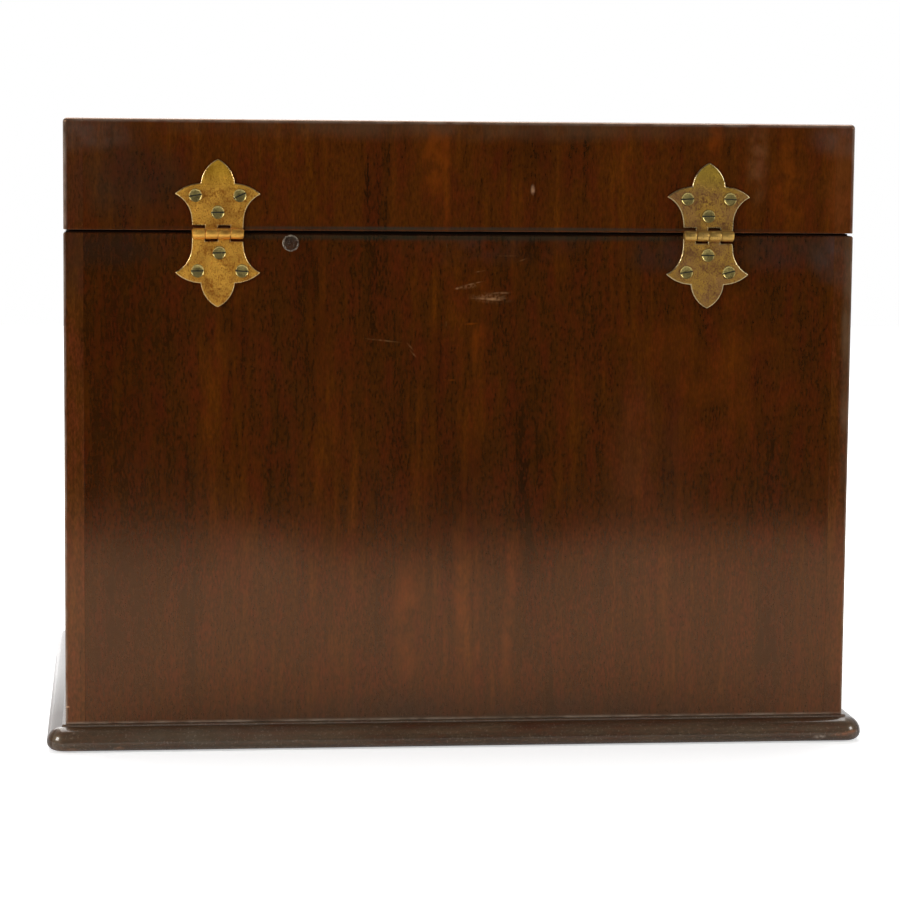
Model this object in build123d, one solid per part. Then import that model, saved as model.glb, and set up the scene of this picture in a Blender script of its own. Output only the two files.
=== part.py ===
"""Silverware chest: a mahogany box with a lift lid over a fitted well and two dovetailed drawers.

The frame has +X to the right seen from the drawers, +Y to the hinged back and +Z up, in millimetres.
The origin is the centre of the felt's underside, which the chest rests on.
"""

import os
from math import asin, atan2, cos, degrees, hypot, radians, sin

from build123d import *

# ---------------------------------------------------------------- driving dimensions
# Carcase and lid
CHEST_WIDTH = 406.0
CHEST_DEPTH = 292.0
BODY_TOP = 264.4
PARTING_GAP = 1.2
LID_HEIGHT = 57.0
WALL = 10.0
BOARD_THICKNESS = 8.0
DADO_DEPTH = 3.0
LID_TOP_THICKNESS = 8.0
LID_BORDER = 4.0
EDGE_ROUND = 1.2
THUMB_NOTCH_WIDTH = 46.0
THUMB_NOTCH_HEIGHT = 4.0
THUMB_NOTCH_DEPTH = 6.0

# Moulded base board and the felt under it
FELT_THICKNESS = 0.8
FELT_INSET = 4.0
BASE_THICKNESS = 13.0
BASE_PROJECTION = 9.6
BASE_CORNER_RADIUS = 1.5
BASE_WIDEST_HEIGHT = 4.2
BASE_UNDERCUT = 4.4
BASE_FILLET_STEP = 1.8
BASE_FILLET_HEIGHT = 3.0
BASE_EASE = 0.5

# Cloth lining and slotted racks
WELL_FRONT_HEIGHT = 84.6
LINING = 1.2
LINING_BELOW_RIM = 5.0
LID_PAD_THICKNESS = 5.0
RACK_END_CLEARANCE = 9.4
RACK_THICKNESS = 12.0
RACK_HEIGHT = 44.0
RACK_FROM_WALL = 70.8
RACK_SLOTS = 8
RACK_FIRST_SLOT = 29.0
RACK_SLOT_WIDTH = 13.0
RACK_SLOT_DEPTH = 30.0
KNIFE_RACK_HEIGHT = 22.0
KNIFE_RACK_FROM_WALL = 59.8
KNIFE_SLOT_WIDTH = 11.0
KNIFE_SLOT_DEPTH = 15.0

# Drawers
DRAWER_SIDE_CLEARANCE = 0.7
DRAWER_TOP_CLEARANCE = 0.8
DRAWER_SEAT_CLEARANCE = 0.3
DRAWER_FRONT_THICKNESS = 14.0
DRAWER_SIDE_THICKNESS = 8.0
DRAWER_BACK_THICKNESS = 8.0
DRAWER_BOTTOM_THICKNESS = 4.0
DRAWER_BOTTOM_RAISE = 8.0
DRAWER_SIDE_DROP = 3.0
DRAWER_BACK_DROP = 6.0
DRAWER_GROOVE_DEPTH = 4.0
DOVETAIL_LAP = 4.0
DOVETAIL_COUNT = 3
DOVETAIL_HEIGHT = 17.0
DOVETAIL_SLOPE = 0.17
PARTITION_THICKNESS = 6.0
PARTITION_HEIGHT = 44.0
PARTITION_FROM_POST = 10.0
STOP_LENGTH = 12.0
STOP_WIDTH = 26.0
STOP_HEIGHT = 9.0
STOP_INSET = 63.0
STOP_GAP = 0.3

# Fleur-de-lis hinges, measured from the pin
HINGE_INSET = 76.7
HINGE_HALF_HEIGHT = 37.4
HINGE_HALF_WAIST = 13.2
HINGE_WAIST_HEIGHT = 8.0
HINGE_WING_REACH = 21.6
HINGE_WING_HEIGHT = 19.8
HINGE_PETAL_HALF_WIDTH = 8.6
HINGE_PETAL_BASE = 25.2
HINGE_WAIST_HOLLOW = 1.9
HINGE_WING_SWELL = 1.3
HINGE_PETAL_SWELL = 2.0
HINGE_PLATE = 1.3
HINGE_KNUCKLES = 4
KNUCKLE_RADIUS = 2.7
KNUCKLE_GAP = 0.25
KNUCKLE_SLOT = 1.65
KNUCKLE_STANDOFF = 0.35
KNUCKLE_STOP = 1.3
PIN_RADIUS = 1.4
PIN_CLEARANCE = 0.05
PIN_HEAD = 0.6
PIN_HEAD_RADIUS = 2.1
HINGE_SCREW_SIDE = 11.1
HINGE_SCREW_SIDE_HEIGHT = 18.8
HINGE_SCREW_MIDDLE_HEIGHT = 10.0

# Screws
SCREW_HEAD_RADIUS = 3.4
SCREW_SHANK_RADIUS = 1.7
SCREW_LENGTH = 8.6
SCREW_SLOT_WIDTH = 0.9
SCREW_SLOT_DEPTH = 0.9
SCREW_CLEARANCE = 0.05
SMALL_SCREW_SCALE = 0.6
BASE_SCREW_LENGTH = 28.0
BASE_SCREW_SIDE_INSET = 93.0
BASE_SCREW_END_INSET = 36.0

# Clear bumper on the back
BUMPER_RADIUS = 4.2
BUMPER_HEIGHT = 2.2
BUMPER_FROM_HINGE = 37.7
BUMPER_DROP = 4.2

# Folding lid stay, measured forwards and upwards from the hinge pins
LID_OPENING = 98.0
STAY_LID_FORWARD = 58.0
STAY_LID_RISE = 26.0
STAY_BODY_FORWARD = 40.0
STAY_BODY_FALL = 26.0
STAY_BAR_WIDTH = 8.0
STAY_BAR_THICKNESS = 1.5
STAY_LAYER_GAP = 0.3
STAY_PLATE_THICKNESS = 1.3
STAY_PLATE_LENGTH = 32.0
STAY_PLATE_WIDTH = 11.0
STAY_SCREW_SPACING = 21.0
STAY_STUD_RADIUS = 2.0
STAY_STUD_CLEARANCE = 0.08
STAY_HEAD_RADIUS = 3.4
STAY_HEAD_THICKNESS = 1.2
STAY_ELBOW_RADIUS = 8.0
STAY_STOP_RADIUS = 1.2
STAY_STOP_REACH = 6.4
STAY_STOP_CLEARANCE = 0.15

# Drawer pulls
PULL_INSET = 97.3
PULL_POST_SPACING = 62.0
PULL_REACH = 12.0
PULL_ROSETTE_RADIUS = 8.5
PULL_ROSETTE_THICKNESS = 2.0
PULL_NECK_RADIUS = 2.8
PULL_BALL_RADIUS = 4.6
PULL_SHANK_RADIUS = 2.0
PULL_SHANK_CLEARANCE = 0.05
PULL_NUT_RADIUS = 4.2
PULL_NUT_THICKNESS = 3.0
BAIL_PIN_RADIUS = 1.3
BAIL_PIN_CLEARANCE = 0.05
BAIL_PIN_ENGAGEMENT = 3.0
BAIL_WIRE_RADIUS = 1.8
BAIL_SIDE_GAP = 1.0
BAIL_DROP = 25.0
BAIL_CORNER_RADIUS = 13.0
BAIL_GRIP_RADIUS = 3.0
BAIL_GRIP_LENGTH = 24.0

CUT = 1.0  # how far a cutting tool runs past the face that it cuts

# ---------------------------------------------------------------- places worked out from them
HALF_W = CHEST_WIDTH / 2
HALF_D = CHEST_DEPTH / 2
INNER_X = HALF_W - WALL
INNER_Y = HALF_D - WALL
BASE_TOP = FELT_THICKNESS + BASE_THICKNESS
LID_BOTTOM = BODY_TOP + PARTING_GAP
LID_TOP = LID_BOTTOM + LID_HEIGHT
LID_CEILING = LID_TOP - LID_TOP_THICKNESS
WELL_UNDER = BODY_TOP - WELL_FRONT_HEIGHT
WELL_FLOOR = WELL_UNDER + BOARD_THICKNESS
DRAWER_OPENING = (WELL_UNDER - BASE_TOP - BOARD_THICKNESS) / 2
DIVIDER_UNDER = BASE_TOP + DRAWER_OPENING
DIVIDER_TOP = DIVIDER_UNDER + BOARD_THICKNESS
DRAWER_FLOORS = {"lower": BASE_TOP, "upper": DIVIDER_TOP}
LINED_X = INNER_X - LINING
LINED_Y = INNER_Y - LINING
LINED_FLOOR = WELL_FLOOR + LINING
LINED_CEILING = LID_CEILING - LID_PAD_THICKNESS

PIN_Y = HALF_D + KNUCKLE_STANDOFF + KNUCKLE_RADIUS
PIN_Z = BODY_TOP + PARTING_GAP / 2
HINGE_X = HALF_W - HINGE_INSET
HINGE_CENTRES = {"left": -HINGE_X, "right": HINGE_X}
HINGE_SCREWS = [
    (-HINGE_SCREW_SIDE, HINGE_SCREW_SIDE_HEIGHT, 4),
    (HINGE_SCREW_SIDE, HINGE_SCREW_SIDE_HEIGHT, -7),
    (0, HINGE_SCREW_MIDDLE_HEIGHT, 12),
]

STAY_LAYER = STAY_BAR_THICKNESS + STAY_LAYER_GAP
STAY_FIRST = STAY_PLATE_THICKNESS + STAY_LAYER_GAP
STAY_LID_PIVOT = (STAY_LID_FORWARD, STAY_LID_RISE)
STAY_BODY_PIVOT = (STAY_BODY_FORWARD, -STAY_BODY_FALL)
STAY_ELBOW = (STAY_LID_FORWARD + STAY_BODY_FORWARD, STAY_LID_RISE - STAY_BODY_FALL)
STAY_DEPTH = STAY_FIRST + 2 * STAY_LAYER + STAY_HEAD_THICKNESS

RACK_LENGTH = 2 * (LINED_X - STAY_DEPTH - RACK_END_CLEARANCE)
RACK_SLOT_PITCH = (RACK_LENGTH - 2 * RACK_FIRST_SLOT) / (RACK_SLOTS - 1)
RACK_Y = LINED_Y - RACK_FROM_WALL
KNIFE_RACK_Y = LINED_Y - KNIFE_RACK_FROM_WALL

DRAWER_HALF_W = INNER_X - DRAWER_SIDE_CLEARANCE
DRAWER_BACK_Y = INNER_Y - STOP_LENGTH - STOP_GAP
DRAWER_HEIGHT = DRAWER_OPENING - DRAWER_SEAT_CLEARANCE - DRAWER_TOP_CLEARANCE
DRAWER_INNER_X = DRAWER_HALF_W - DRAWER_SIDE_THICKNESS
DRAWER_INNER_FRONT = -HALF_D + DRAWER_FRONT_THICKNESS
DRAWER_INNER_BACK = DRAWER_BACK_Y - DRAWER_BACK_THICKNESS
PULL_X = DRAWER_HALF_W - PULL_INSET
PULL_BALL_Y = -HALF_D - PULL_REACH
BAIL_HALF_WIDTH = PULL_POST_SPACING / 2 + PULL_BALL_RADIUS + BAIL_SIDE_GAP + BAIL_WIRE_RADIUS


def block(x0, x1, y0, y1, z0, z1):
    """A box between two opposite corners."""
    return Pos((x0 + x1) / 2, (y0 + y1) / 2, (z0 + z1) / 2) * Box(x1 - x0, y1 - y0, z1 - z0)


def rod_x(radius, x0, x1, y, z):
    """A cylinder along X."""
    return Pos((x0 + x1) / 2, y, z) * Rot(0, 90, 0) * Cylinder(radius, x1 - x0)


def rod_y(radius, y0, y1, x, z):
    """A cylinder along Y."""
    return Pos(x, (y0 + y1) / 2, z) * Rot(90, 0, 0) * Cylinder(radius, y1 - y0)


def plate_y(outline, y0, y1):
    """A plate from y0 back to y1, whose outline is drawn in X and Z."""
    return Pos(0, y1, 0) * extrude(Plane.XZ * outline, amount=y1 - y0)


def plate_x(outline, x0, x1):
    """A plate from x0 right to x1, whose outline is drawn in Y and Z."""
    return Pos(x0, 0, 0) * extrude(Plane.YZ * outline, amount=x1 - x0)


def eased(part, axis, radius=EDGE_ROUND, **places):
    """Rounds the edges along an axis whose centres lie at the given places."""
    def chosen(edge):
        centre = edge.center()
        return all(abs(getattr(centre, name) - place) < 0.01 for name, place in places.items())

    return fillet(part.edges().filter_by(axis).filter_by(chosen), radius)


def group(parts):
    """Separate solids kept together in one piece."""
    return Compound(children=[solid for part in parts for solid in part.solids()])


# ---------------------------------------------------------------- screws
def screw_body(length, scale, clearance):
    """A countersunk screw's solid: its head's face at z 0 and its point down."""
    head = SCREW_HEAD_RADIUS * scale + clearance
    shank = SCREW_SHANK_RADIUS * scale + clearance
    neck = head - shank
    outline = Polyline(
        (0, 0), (head, 0), (shank, -neck), (shank, 1.5 * shank - length), (0, -length), close=True
    )
    return revolve(Plane.XZ * make_face(outline), Axis.Z)


def slotted_screw(length=SCREW_LENGTH, scale=1.0, turn=0.0):
    """A countersunk wood screw with a driver's slot."""
    slot = Box(3 * SCREW_HEAD_RADIUS, SCREW_SLOT_WIDTH * scale, 2 * SCREW_SLOT_DEPTH * scale)
    return Rot(0, 0, turn) * (screw_body(length, scale, 0) - slot)


def screw_hole(length=SCREW_LENGTH, scale=1.0):
    """The hole round a screw, open above its head."""
    mouth = Pos(0, 0, CUT / 2) * Cylinder(SCREW_HEAD_RADIUS * scale + SCREW_CLEARANCE, CUT)
    return screw_body(length + SCREW_CLEARANCE, scale, SCREW_CLEARANCE) + mouth


def hinge_screw_places(sign):
    """Screw places of both hinges' leaves: +1 for the lid's leaf and -1 for the body's."""
    face = HALF_D + HINGE_PLATE
    return [
        (Pos(centre + x, face, PIN_Z + sign * height) * Rot(-90, 0, 0), turn + 9 * number)
        for number, centre in enumerate(HINGE_CENTRES.values())
        for x, height, turn in HINGE_SCREWS
    ]


def hinge_screws(sign):
    """The screws of both hinges' leaves: +1 for the lid's leaf and -1 for the body's."""
    return group([place * slotted_screw(turn=turn) for place, turn in hinge_screw_places(sign)])


def base_screw_places():
    """Places of the screws that come up through the base into the sides and the back."""
    wall_x = HALF_W - WALL / 2
    wall_y = HALF_D - WALL / 2
    near_end = HALF_D - BASE_SCREW_END_INSET
    near_side = HALF_W - BASE_SCREW_SIDE_INSET
    sides = [(sx * wall_x, sy * near_end) for sx in (-1, 1) for sy in (-1, 1)]
    backs = [(sx * near_side, wall_y) for sx in (-1, 1)]
    return [Pos(x, y, FELT_THICKNESS) * Rot(180, 0, 0) for x, y in sides + backs]


def base_screws():
    """The long screws that hold the base to the carcase."""
    return group([place * slotted_screw(BASE_SCREW_LENGTH) for place in base_screw_places()])


# ---------------------------------------------------------------- base
def base_section():
    """Section of the moulded edge: x outwards from the fillet's corner, y up from the underside."""
    reach = BASE_PROJECTION - BASE_FILLET_STEP
    inward = -0.9 * BASE_CORNER_RADIUS
    step = BASE_THICKNESS - BASE_FILLET_HEIGHT
    top = BASE_THICKNESS - BASE_EASE
    lines = Curve() + [
        Line((inward, 0), (reach - BASE_UNDERCUT, 0)),
        EllipticalCenterArc(
            (reach - BASE_UNDERCUT, BASE_WIDEST_HEIGHT), BASE_UNDERCUT, BASE_WIDEST_HEIGHT, 270
        ),
        EllipticalCenterArc(
            (BASE_EASE, BASE_WIDEST_HEIGHT), reach - BASE_EASE, step - BASE_WIDEST_HEIGHT, 0
        ),
        Line((BASE_EASE, step), (0, step)),
        Line((0, step), (0, top)),
        Line((0, top), (-BASE_EASE, BASE_THICKNESS)),
        Line((-BASE_EASE, BASE_THICKNESS), (inward, BASE_THICKNESS)),
        Line((inward, BASE_THICKNESS), (inward, 0)),
    ]
    return make_face(lines)


def base_board():
    """The base board, with its moulded edge swept round four eased corners."""
    half_x = HALF_W + BASE_FILLET_STEP
    half_y = HALF_D + BASE_FILLET_STEP
    path = RectangleRounded(2 * half_x, 2 * half_y, BASE_CORNER_RADIUS).wire()
    start = path @ 0
    outwards = Vector(start.X, 0, 0) if abs(abs(start.X) - half_x) < 0.01 else Vector(0, start.Y, 0)
    frame = Plane(origin=start, x_dir=outwards, z_dir=outwards.cross(Vector(0, 0, 1)))
    edge = sweep(frame * base_section(), path=path)
    core_x = half_x - BASE_CORNER_RADIUS / 2
    core_y = half_y - BASE_CORNER_RADIUS / 2
    board = edge + block(-core_x, core_x, -core_y, core_y, 0, BASE_THICKNESS)
    board = Pos(0, 0, FELT_THICKNESS) * board
    return board - [place * screw_hole(BASE_SCREW_LENGTH) for place in base_screw_places()]


def base_felt():
    """The felt sheet that the chest stands on."""
    under_x = HALF_W + BASE_PROJECTION - BASE_UNDERCUT - FELT_INSET
    under_y = HALF_D + BASE_PROJECTION - BASE_UNDERCUT - FELT_INSET
    return block(-under_x, under_x, -under_y, under_y, 0, FELT_THICKNESS)


# ---------------------------------------------------------------- carcase
def well_floor():
    """The board under the well, let into both sides."""
    reach = INNER_X + DADO_DEPTH
    return block(-reach, reach, -INNER_Y, INNER_Y, WELL_UNDER, WELL_FLOOR)


def drawer_divider():
    """The board between the drawers, let into both sides by dados that stop short of the front."""
    reach = INNER_X + DADO_DEPTH
    board = block(-INNER_X, INNER_X, -HALF_D, INNER_Y, DIVIDER_UNDER, DIVIDER_TOP)
    return board + block(-reach, reach, -INNER_Y, INNER_Y, DIVIDER_UNDER, DIVIDER_TOP)


def stay_plate_place(lid):
    """The pivot place of the stay's lid plate or body plate, on the lining of the right side."""
    forward, rise = STAY_LID_PIVOT if lid else STAY_BODY_PIVOT
    return Pos(LINED_X, PIN_Y - forward, PIN_Z + rise)


def stay_screw_places(lid):
    """Places of the two screws in one of the stay's plates."""
    return [
        stay_plate_place(lid) * Pos(-STAY_PLATE_THICKNESS, shift, 0) * Rot(0, -90, 0)
        for shift in (-STAY_SCREW_SPACING / 2, STAY_SCREW_SPACING / 2)
    ]


def small_screws(places):
    """Small countersunk screws at the given places."""
    return group([place * slotted_screw(SCREW_LENGTH, SMALL_SCREW_SCALE, 30) for place in places])


def small_holes(places):
    """The holes of small countersunk screws."""
    return [place * screw_hole(SCREW_LENGTH, SMALL_SCREW_SCALE) for place in places]


def side_panel(sign):
    """A side of the carcase, with dados for the two boards: +1 is the right side."""
    panel = block(INNER_X, HALF_W, -HALF_D, HALF_D, BASE_TOP, BODY_TOP)
    panel = eased(panel, Axis.Z, X=HALF_W)
    if sign < 0:
        panel = mirror(panel, Plane.YZ)
    panel -= [well_floor(), drawer_divider()]
    panel -= [place * screw_hole(BASE_SCREW_LENGTH) for place in base_screw_places()]
    if sign > 0:
        panel -= small_holes(stay_screw_places(lid=False))
    return panel


def back_panel():
    """The back of the carcase, set between the sides, with holes for the hinges' screws."""
    panel = block(-INNER_X, INNER_X, INNER_Y, HALF_D, BASE_TOP, BODY_TOP)
    panel -= [place * screw_hole() for place, turn in hinge_screw_places(-1)]
    return panel - [place * screw_hole(BASE_SCREW_LENGTH) for place in base_screw_places()]


def well_front_rail():
    """The front of the well, above the drawers."""
    return block(-INNER_X, INNER_X, -HALF_D, -INNER_Y, WELL_UNDER, BODY_TOP)


def well_lining():
    """The cloth that covers the well's floor and walls."""
    top = BODY_TOP - LINING_BELOW_RIM
    cloth = block(-INNER_X, INNER_X, -INNER_Y, INNER_Y, WELL_FLOOR, top)
    cloth -= block(-LINED_X, LINED_X, -LINED_Y, LINED_Y, LINED_FLOOR, top + CUT)
    return cloth - small_holes(stay_screw_places(lid=False))


def slotted_rack(height, width, depth):
    """A rack bar standing on z 0, with a row of round-bottomed slots open at its top."""
    bar = block(-RACK_LENGTH / 2, RACK_LENGTH / 2, -RACK_THICKNESS / 2, RACK_THICKNESS / 2, 0, height)
    bar = fillet(bar.edges().filter_by(Axis.Z), RACK_THICKNESS / 4)
    bottom = height - depth + width / 2
    slot = rod_y(width / 2, -RACK_THICKNESS, RACK_THICKNESS, 0, bottom)
    slot += block(-width / 2, width / 2, -RACK_THICKNESS, RACK_THICKNESS, bottom, height + CUT)
    first = RACK_FIRST_SLOT - RACK_LENGTH / 2
    return bar - [Pos(first + RACK_SLOT_PITCH * number, 0, 0) * slot for number in range(RACK_SLOTS)]


def well_rack(y):
    """A rack for forks and spoons, across the well."""
    rack = slotted_rack(RACK_HEIGHT, RACK_SLOT_WIDTH, RACK_SLOT_DEPTH)
    return Pos(0, y, LINED_FLOOR) * rack


def drawer_stops():
    """Glued blocks behind the drawers, which stop each front flush with the sides."""
    blocks = []
    for floor in DRAWER_FLOORS.values():
        for x in (STOP_INSET - INNER_X, INNER_X - STOP_INSET):
            left, right = x - STOP_WIDTH / 2, x + STOP_WIDTH / 2
            blocks.append(block(left, right, INNER_Y - STOP_LENGTH, INNER_Y, floor, floor + STOP_HEIGHT))
    return group(blocks)


def clear_bumper():
    """A clear stick-on dome under the parting line of the back."""
    ball = (BUMPER_RADIUS**2 + BUMPER_HEIGHT**2) / (2 * BUMPER_HEIGHT)
    dome = Pos(0, BUMPER_HEIGHT - ball, 0) * Sphere(ball)
    dome &= block(-ball, ball, 0, ball, -ball, ball)
    return Pos(HINGE_X - BUMPER_FROM_HINGE, HALF_D, PIN_Z - PARTING_GAP / 2 - BUMPER_DROP) * dome


# ---------------------------------------------------------------- lid
def lid_top_panel():
    """The lid's top board, let into a rabbet round the rails."""
    half_x = HALF_W - LID_BORDER
    half_y = HALF_D - LID_BORDER
    return block(-half_x, half_x, -half_y, half_y, LID_CEILING, LID_TOP)


def lid_rail_side(sign):
    """A side rail of the lid: +1 is the right one."""
    rail = block(INNER_X, HALF_W, -HALF_D, HALF_D, LID_BOTTOM, LID_TOP)
    rail = eased(rail, Axis.Z, X=HALF_W)
    rail = eased(rail, Axis.Y, X=HALF_W, Z=LID_TOP)
    if sign < 0:
        rail = mirror(rail, Plane.YZ)
    rail -= lid_top_panel()
    return rail - small_holes(stay_screw_places(lid=True)) if sign > 0 else rail


def lid_rail_end(sign):
    """The rail between the side rails: +1 at the hinged back and -1 at the front."""
    rail = block(-INNER_X, INNER_X, INNER_Y, HALF_D, LID_BOTTOM, LID_TOP)
    rail = eased(rail, Axis.X, Y=HALF_D, Z=LID_TOP)
    if sign > 0:
        rail -= [place * screw_hole() for place, turn in hinge_screw_places(1)]
    else:
        rail = mirror(rail, Plane.XZ) - thumb_notch()
    return rail - lid_top_panel()


def thumb_notch():
    """The scoop under the lid's front edge, for lifting it."""
    radius = (THUMB_NOTCH_WIDTH**2 / 4 + THUMB_NOTCH_HEIGHT**2) / (2 * THUMB_NOTCH_HEIGHT)
    centre_z = LID_BOTTOM + THUMB_NOTCH_HEIGHT - radius
    return rod_y(radius, -HALF_D - CUT, -HALF_D + THUMB_NOTCH_DEPTH, 0, centre_z)


def lid_lining():
    """The padded cloth inside the lid, with a skirt down its rails."""
    rim = LID_BOTTOM + LINING_BELOW_RIM
    cloth = block(-INNER_X, INNER_X, -INNER_Y, INNER_Y, rim, LID_CEILING)
    cloth -= block(-LINED_X, LINED_X, -LINED_Y, LINED_Y, rim - CUT, LINED_CEILING)
    return cloth - small_holes(stay_screw_places(lid=True))


def knife_racks():
    """Two slotted bars inside the lid, which hold the knives."""
    bar = slotted_rack(KNIFE_RACK_HEIGHT, KNIFE_SLOT_WIDTH, KNIFE_SLOT_DEPTH)
    hanging = Pos(0, 0, LINED_CEILING) * Rot(180, 0, 0) * bar
    return group([Pos(0, y, 0) * hanging for y in (-KNIFE_RACK_Y, KNIFE_RACK_Y)])


# ---------------------------------------------------------------- hinges
def leaf_outline():
    """The fleur-de-lis outline of a leaf, from the pin's height up to its tip."""
    waist = (HINGE_HALF_WAIST, HINGE_WAIST_HEIGHT)
    wing = (HINGE_WING_REACH, HINGE_WING_HEIGHT)
    petal = (HINGE_PETAL_HALF_WIDTH, HINGE_PETAL_BASE)
    tip = (0, HINGE_HALF_HEIGHT)
    half = Curve() + [
        Line((HINGE_HALF_WAIST, 0), waist),
        bowed(waist, wing, -HINGE_WAIST_HOLLOW),
        bowed(wing, petal, HINGE_WING_SWELL),
        bowed(petal, tip, HINGE_PETAL_SWELL),
    ]
    other = mirror(half, Plane.YZ)
    return make_face(half + other + Line((-HINGE_HALF_WAIST, 0), (HINGE_HALF_WAIST, 0)))


def bowed(start, end, swell):
    """An arc between two points that swells outwards, or hollows where swell is negative."""
    run, rise = end[0] - start[0], end[1] - start[1]
    length = hypot(run, rise)
    middle = (
        (start[0] + end[0]) / 2 + swell * rise / length,
        (start[1] + end[1]) / 2 - swell * run / length,
    )
    return ThreePointArc(start, middle, end)


def knuckle_spans(lid):
    """The stretches along the pin that belong to the lid's leaf or to the body's leaf."""
    pitch = 2 * HINGE_HALF_WAIST / HINGE_KNUCKLES
    starts = [number * pitch - HINGE_HALF_WAIST for number in range(HINGE_KNUCKLES)]
    return [(x, x + pitch) for x in starts[0 if lid else 1::2]]


def hinge_leaf(name, lid):
    """One leaf: a flat fleur-de-lis plate that rolls into knuckles round the pin."""
    sign = 1 if lid else -1
    outline = leaf_outline() if lid else mirror(leaf_outline(), Plane.XZ)
    plate = plate_y(outline, 0, HINGE_PLATE)
    leaf = Pos(0, HALF_D - PIN_Y, 0) * plate
    barrel = KNUCKLE_RADIUS
    for x0, x1 in knuckle_spans(not lid):
        leaf -= rod_x(barrel + KNUCKLE_SLOT, x0 - KNUCKLE_GAP, x1 + KNUCKLE_GAP, 0, 0)
        leaf -= block(x0 - KNUCKLE_GAP, x1 + KNUCKLE_GAP, -2 * barrel, 2 * barrel, -barrel, barrel)
    past = HINGE_HALF_WAIST + CUT
    leaf -= block(-past, past, HALF_D - PIN_Y - CUT, 0, -KNUCKLE_STOP, KNUCKLE_STOP)
    for x0, x1 in knuckle_spans(lid):
        leaf += rod_x(barrel, x0 + KNUCKLE_GAP / 2, x1 - KNUCKLE_GAP / 2, 0, 0)
    leaf -= rod_x(PIN_RADIUS + PIN_CLEARANCE, -past, past, 0, 0)
    leaf = Pos(HINGE_CENTRES[name], PIN_Y, PIN_Z) * leaf
    return leaf - [place * screw_hole() for place, turn in hinge_screw_places(sign)]


def hinge_pin(name):
    """A hinge's pin, with a low head outside each end knuckle."""
    pin = rod_x(PIN_RADIUS, -HINGE_HALF_WAIST, HINGE_HALF_WAIST, 0, 0)
    for sign in (-1, 1):
        inner, outer = sign * HINGE_HALF_WAIST, sign * (HINGE_HALF_WAIST + PIN_HEAD)
        pin += rod_x(PIN_HEAD_RADIUS, min(inner, outer), max(inner, outer), 0, 0)
    return Pos(HINGE_CENTRES[name], PIN_Y, PIN_Z) * pin


# ---------------------------------------------------------------- folding stay
def stay_disc(radius, forward, rise, depth, thickness):
    """A round in the stay, depth inwards from the lining, at a place measured from the hinge pins."""
    x = LINED_X - depth
    return rod_x(radius, x - thickness, x, PIN_Y - forward, PIN_Z + rise)


def stay_bar(start, end, depth):
    """A straight bar of the stay between two pivots, with round ends."""
    run, rise = end[0] - start[0], end[1] - start[1]
    length = hypot(run, rise)
    bar = SlotCenterToCenter(length, STAY_BAR_WIDTH)
    angle = degrees(atan2(rise, -run))
    middle = Pos(PIN_Y - (start[0] + end[0]) / 2, PIN_Z + (start[1] + end[1]) / 2)
    outline = middle * Rot(0, 0, angle) * bar
    return plate_x(outline, LINED_X - depth - STAY_BAR_THICKNESS, LINED_X - depth)


def stay_bracket(lid):
    """A wall plate of the stay, with the headed stud that its bar turns on."""
    forward, rise = STAY_LID_PIVOT if lid else STAY_BODY_PIVOT
    outline = Pos(PIN_Y - forward, PIN_Z + rise) * SlotOverall(STAY_PLATE_LENGTH, STAY_PLATE_WIDTH)
    bracket = plate_x(outline, LINED_X - STAY_PLATE_THICKNESS, LINED_X)
    bar_depth = STAY_FIRST + (STAY_LAYER if lid else 0)
    head_depth = bar_depth + STAY_LAYER
    bracket += stay_disc(STAY_STUD_RADIUS, forward, rise, 0, head_depth)
    bracket += stay_disc(STAY_HEAD_RADIUS, forward, rise, head_depth, STAY_HEAD_THICKNESS)
    if lid:
        bracket += stay_disc(STAY_HEAD_RADIUS, forward, rise, 0, bar_depth - STAY_LAYER_GAP)
    return bracket - small_holes(stay_screw_places(lid))


def stay_holes(places, depth):
    """Running holes through one bar of the stay."""
    hole = STAY_STUD_RADIUS + STAY_STUD_CLEARANCE
    through = STAY_BAR_THICKNESS + 2 * CUT
    return [stay_disc(hole, *place, depth - CUT, through) for place in places]


def stay_upper_arm():
    """The stay's bar on the lid, from its stud to the elbow."""
    depth = STAY_FIRST + STAY_LAYER
    bar = stay_bar(STAY_LID_PIVOT, STAY_ELBOW, depth)
    return bar - stay_holes((STAY_LID_PIVOT, STAY_ELBOW), depth)


def stay_stop_angle():
    """The stop's bearing from the elbow at rest, so that it meets the upper bar's edge when open."""
    towards_lid_pivot = atan2(STAY_BODY_FALL, -STAY_BODY_FORWARD)
    aside = STAY_BAR_WIDTH / 2 + STAY_STOP_RADIUS + STAY_STOP_CLEARANCE
    return towards_lid_pivot - asin(aside / STAY_STOP_REACH) - radians(LID_OPENING)


def stay_lower_arm():
    """The stay's bar on the body, ending in a broad elbow that carries the stop."""
    bar = stay_bar(STAY_BODY_PIVOT, STAY_ELBOW, STAY_FIRST)
    bar += stay_disc(STAY_ELBOW_RADIUS, *STAY_ELBOW, STAY_FIRST, STAY_BAR_THICKNESS)
    angle = stay_stop_angle()
    forward = STAY_ELBOW[0] + STAY_STOP_REACH * cos(angle)
    rise = STAY_ELBOW[1] + STAY_STOP_REACH * sin(angle)
    bar += stay_disc(STAY_STOP_RADIUS, forward, rise, STAY_FIRST, STAY_LAYER + STAY_BAR_THICKNESS)
    bar -= stay_holes([STAY_BODY_PIVOT], STAY_FIRST)
    return bar - stay_elbow_rivet()


def stay_elbow_rivet():
    """The elbow's rivet, tight in the lower bar and loose in the upper one."""
    length = STAY_LAYER + STAY_BAR_THICKNESS + STAY_LAYER_GAP
    rivet = stay_disc(STAY_STUD_RADIUS, *STAY_ELBOW, STAY_FIRST, length)
    return rivet + stay_disc(STAY_HEAD_RADIUS, *STAY_ELBOW, STAY_FIRST + length, STAY_HEAD_THICKNESS)


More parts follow.
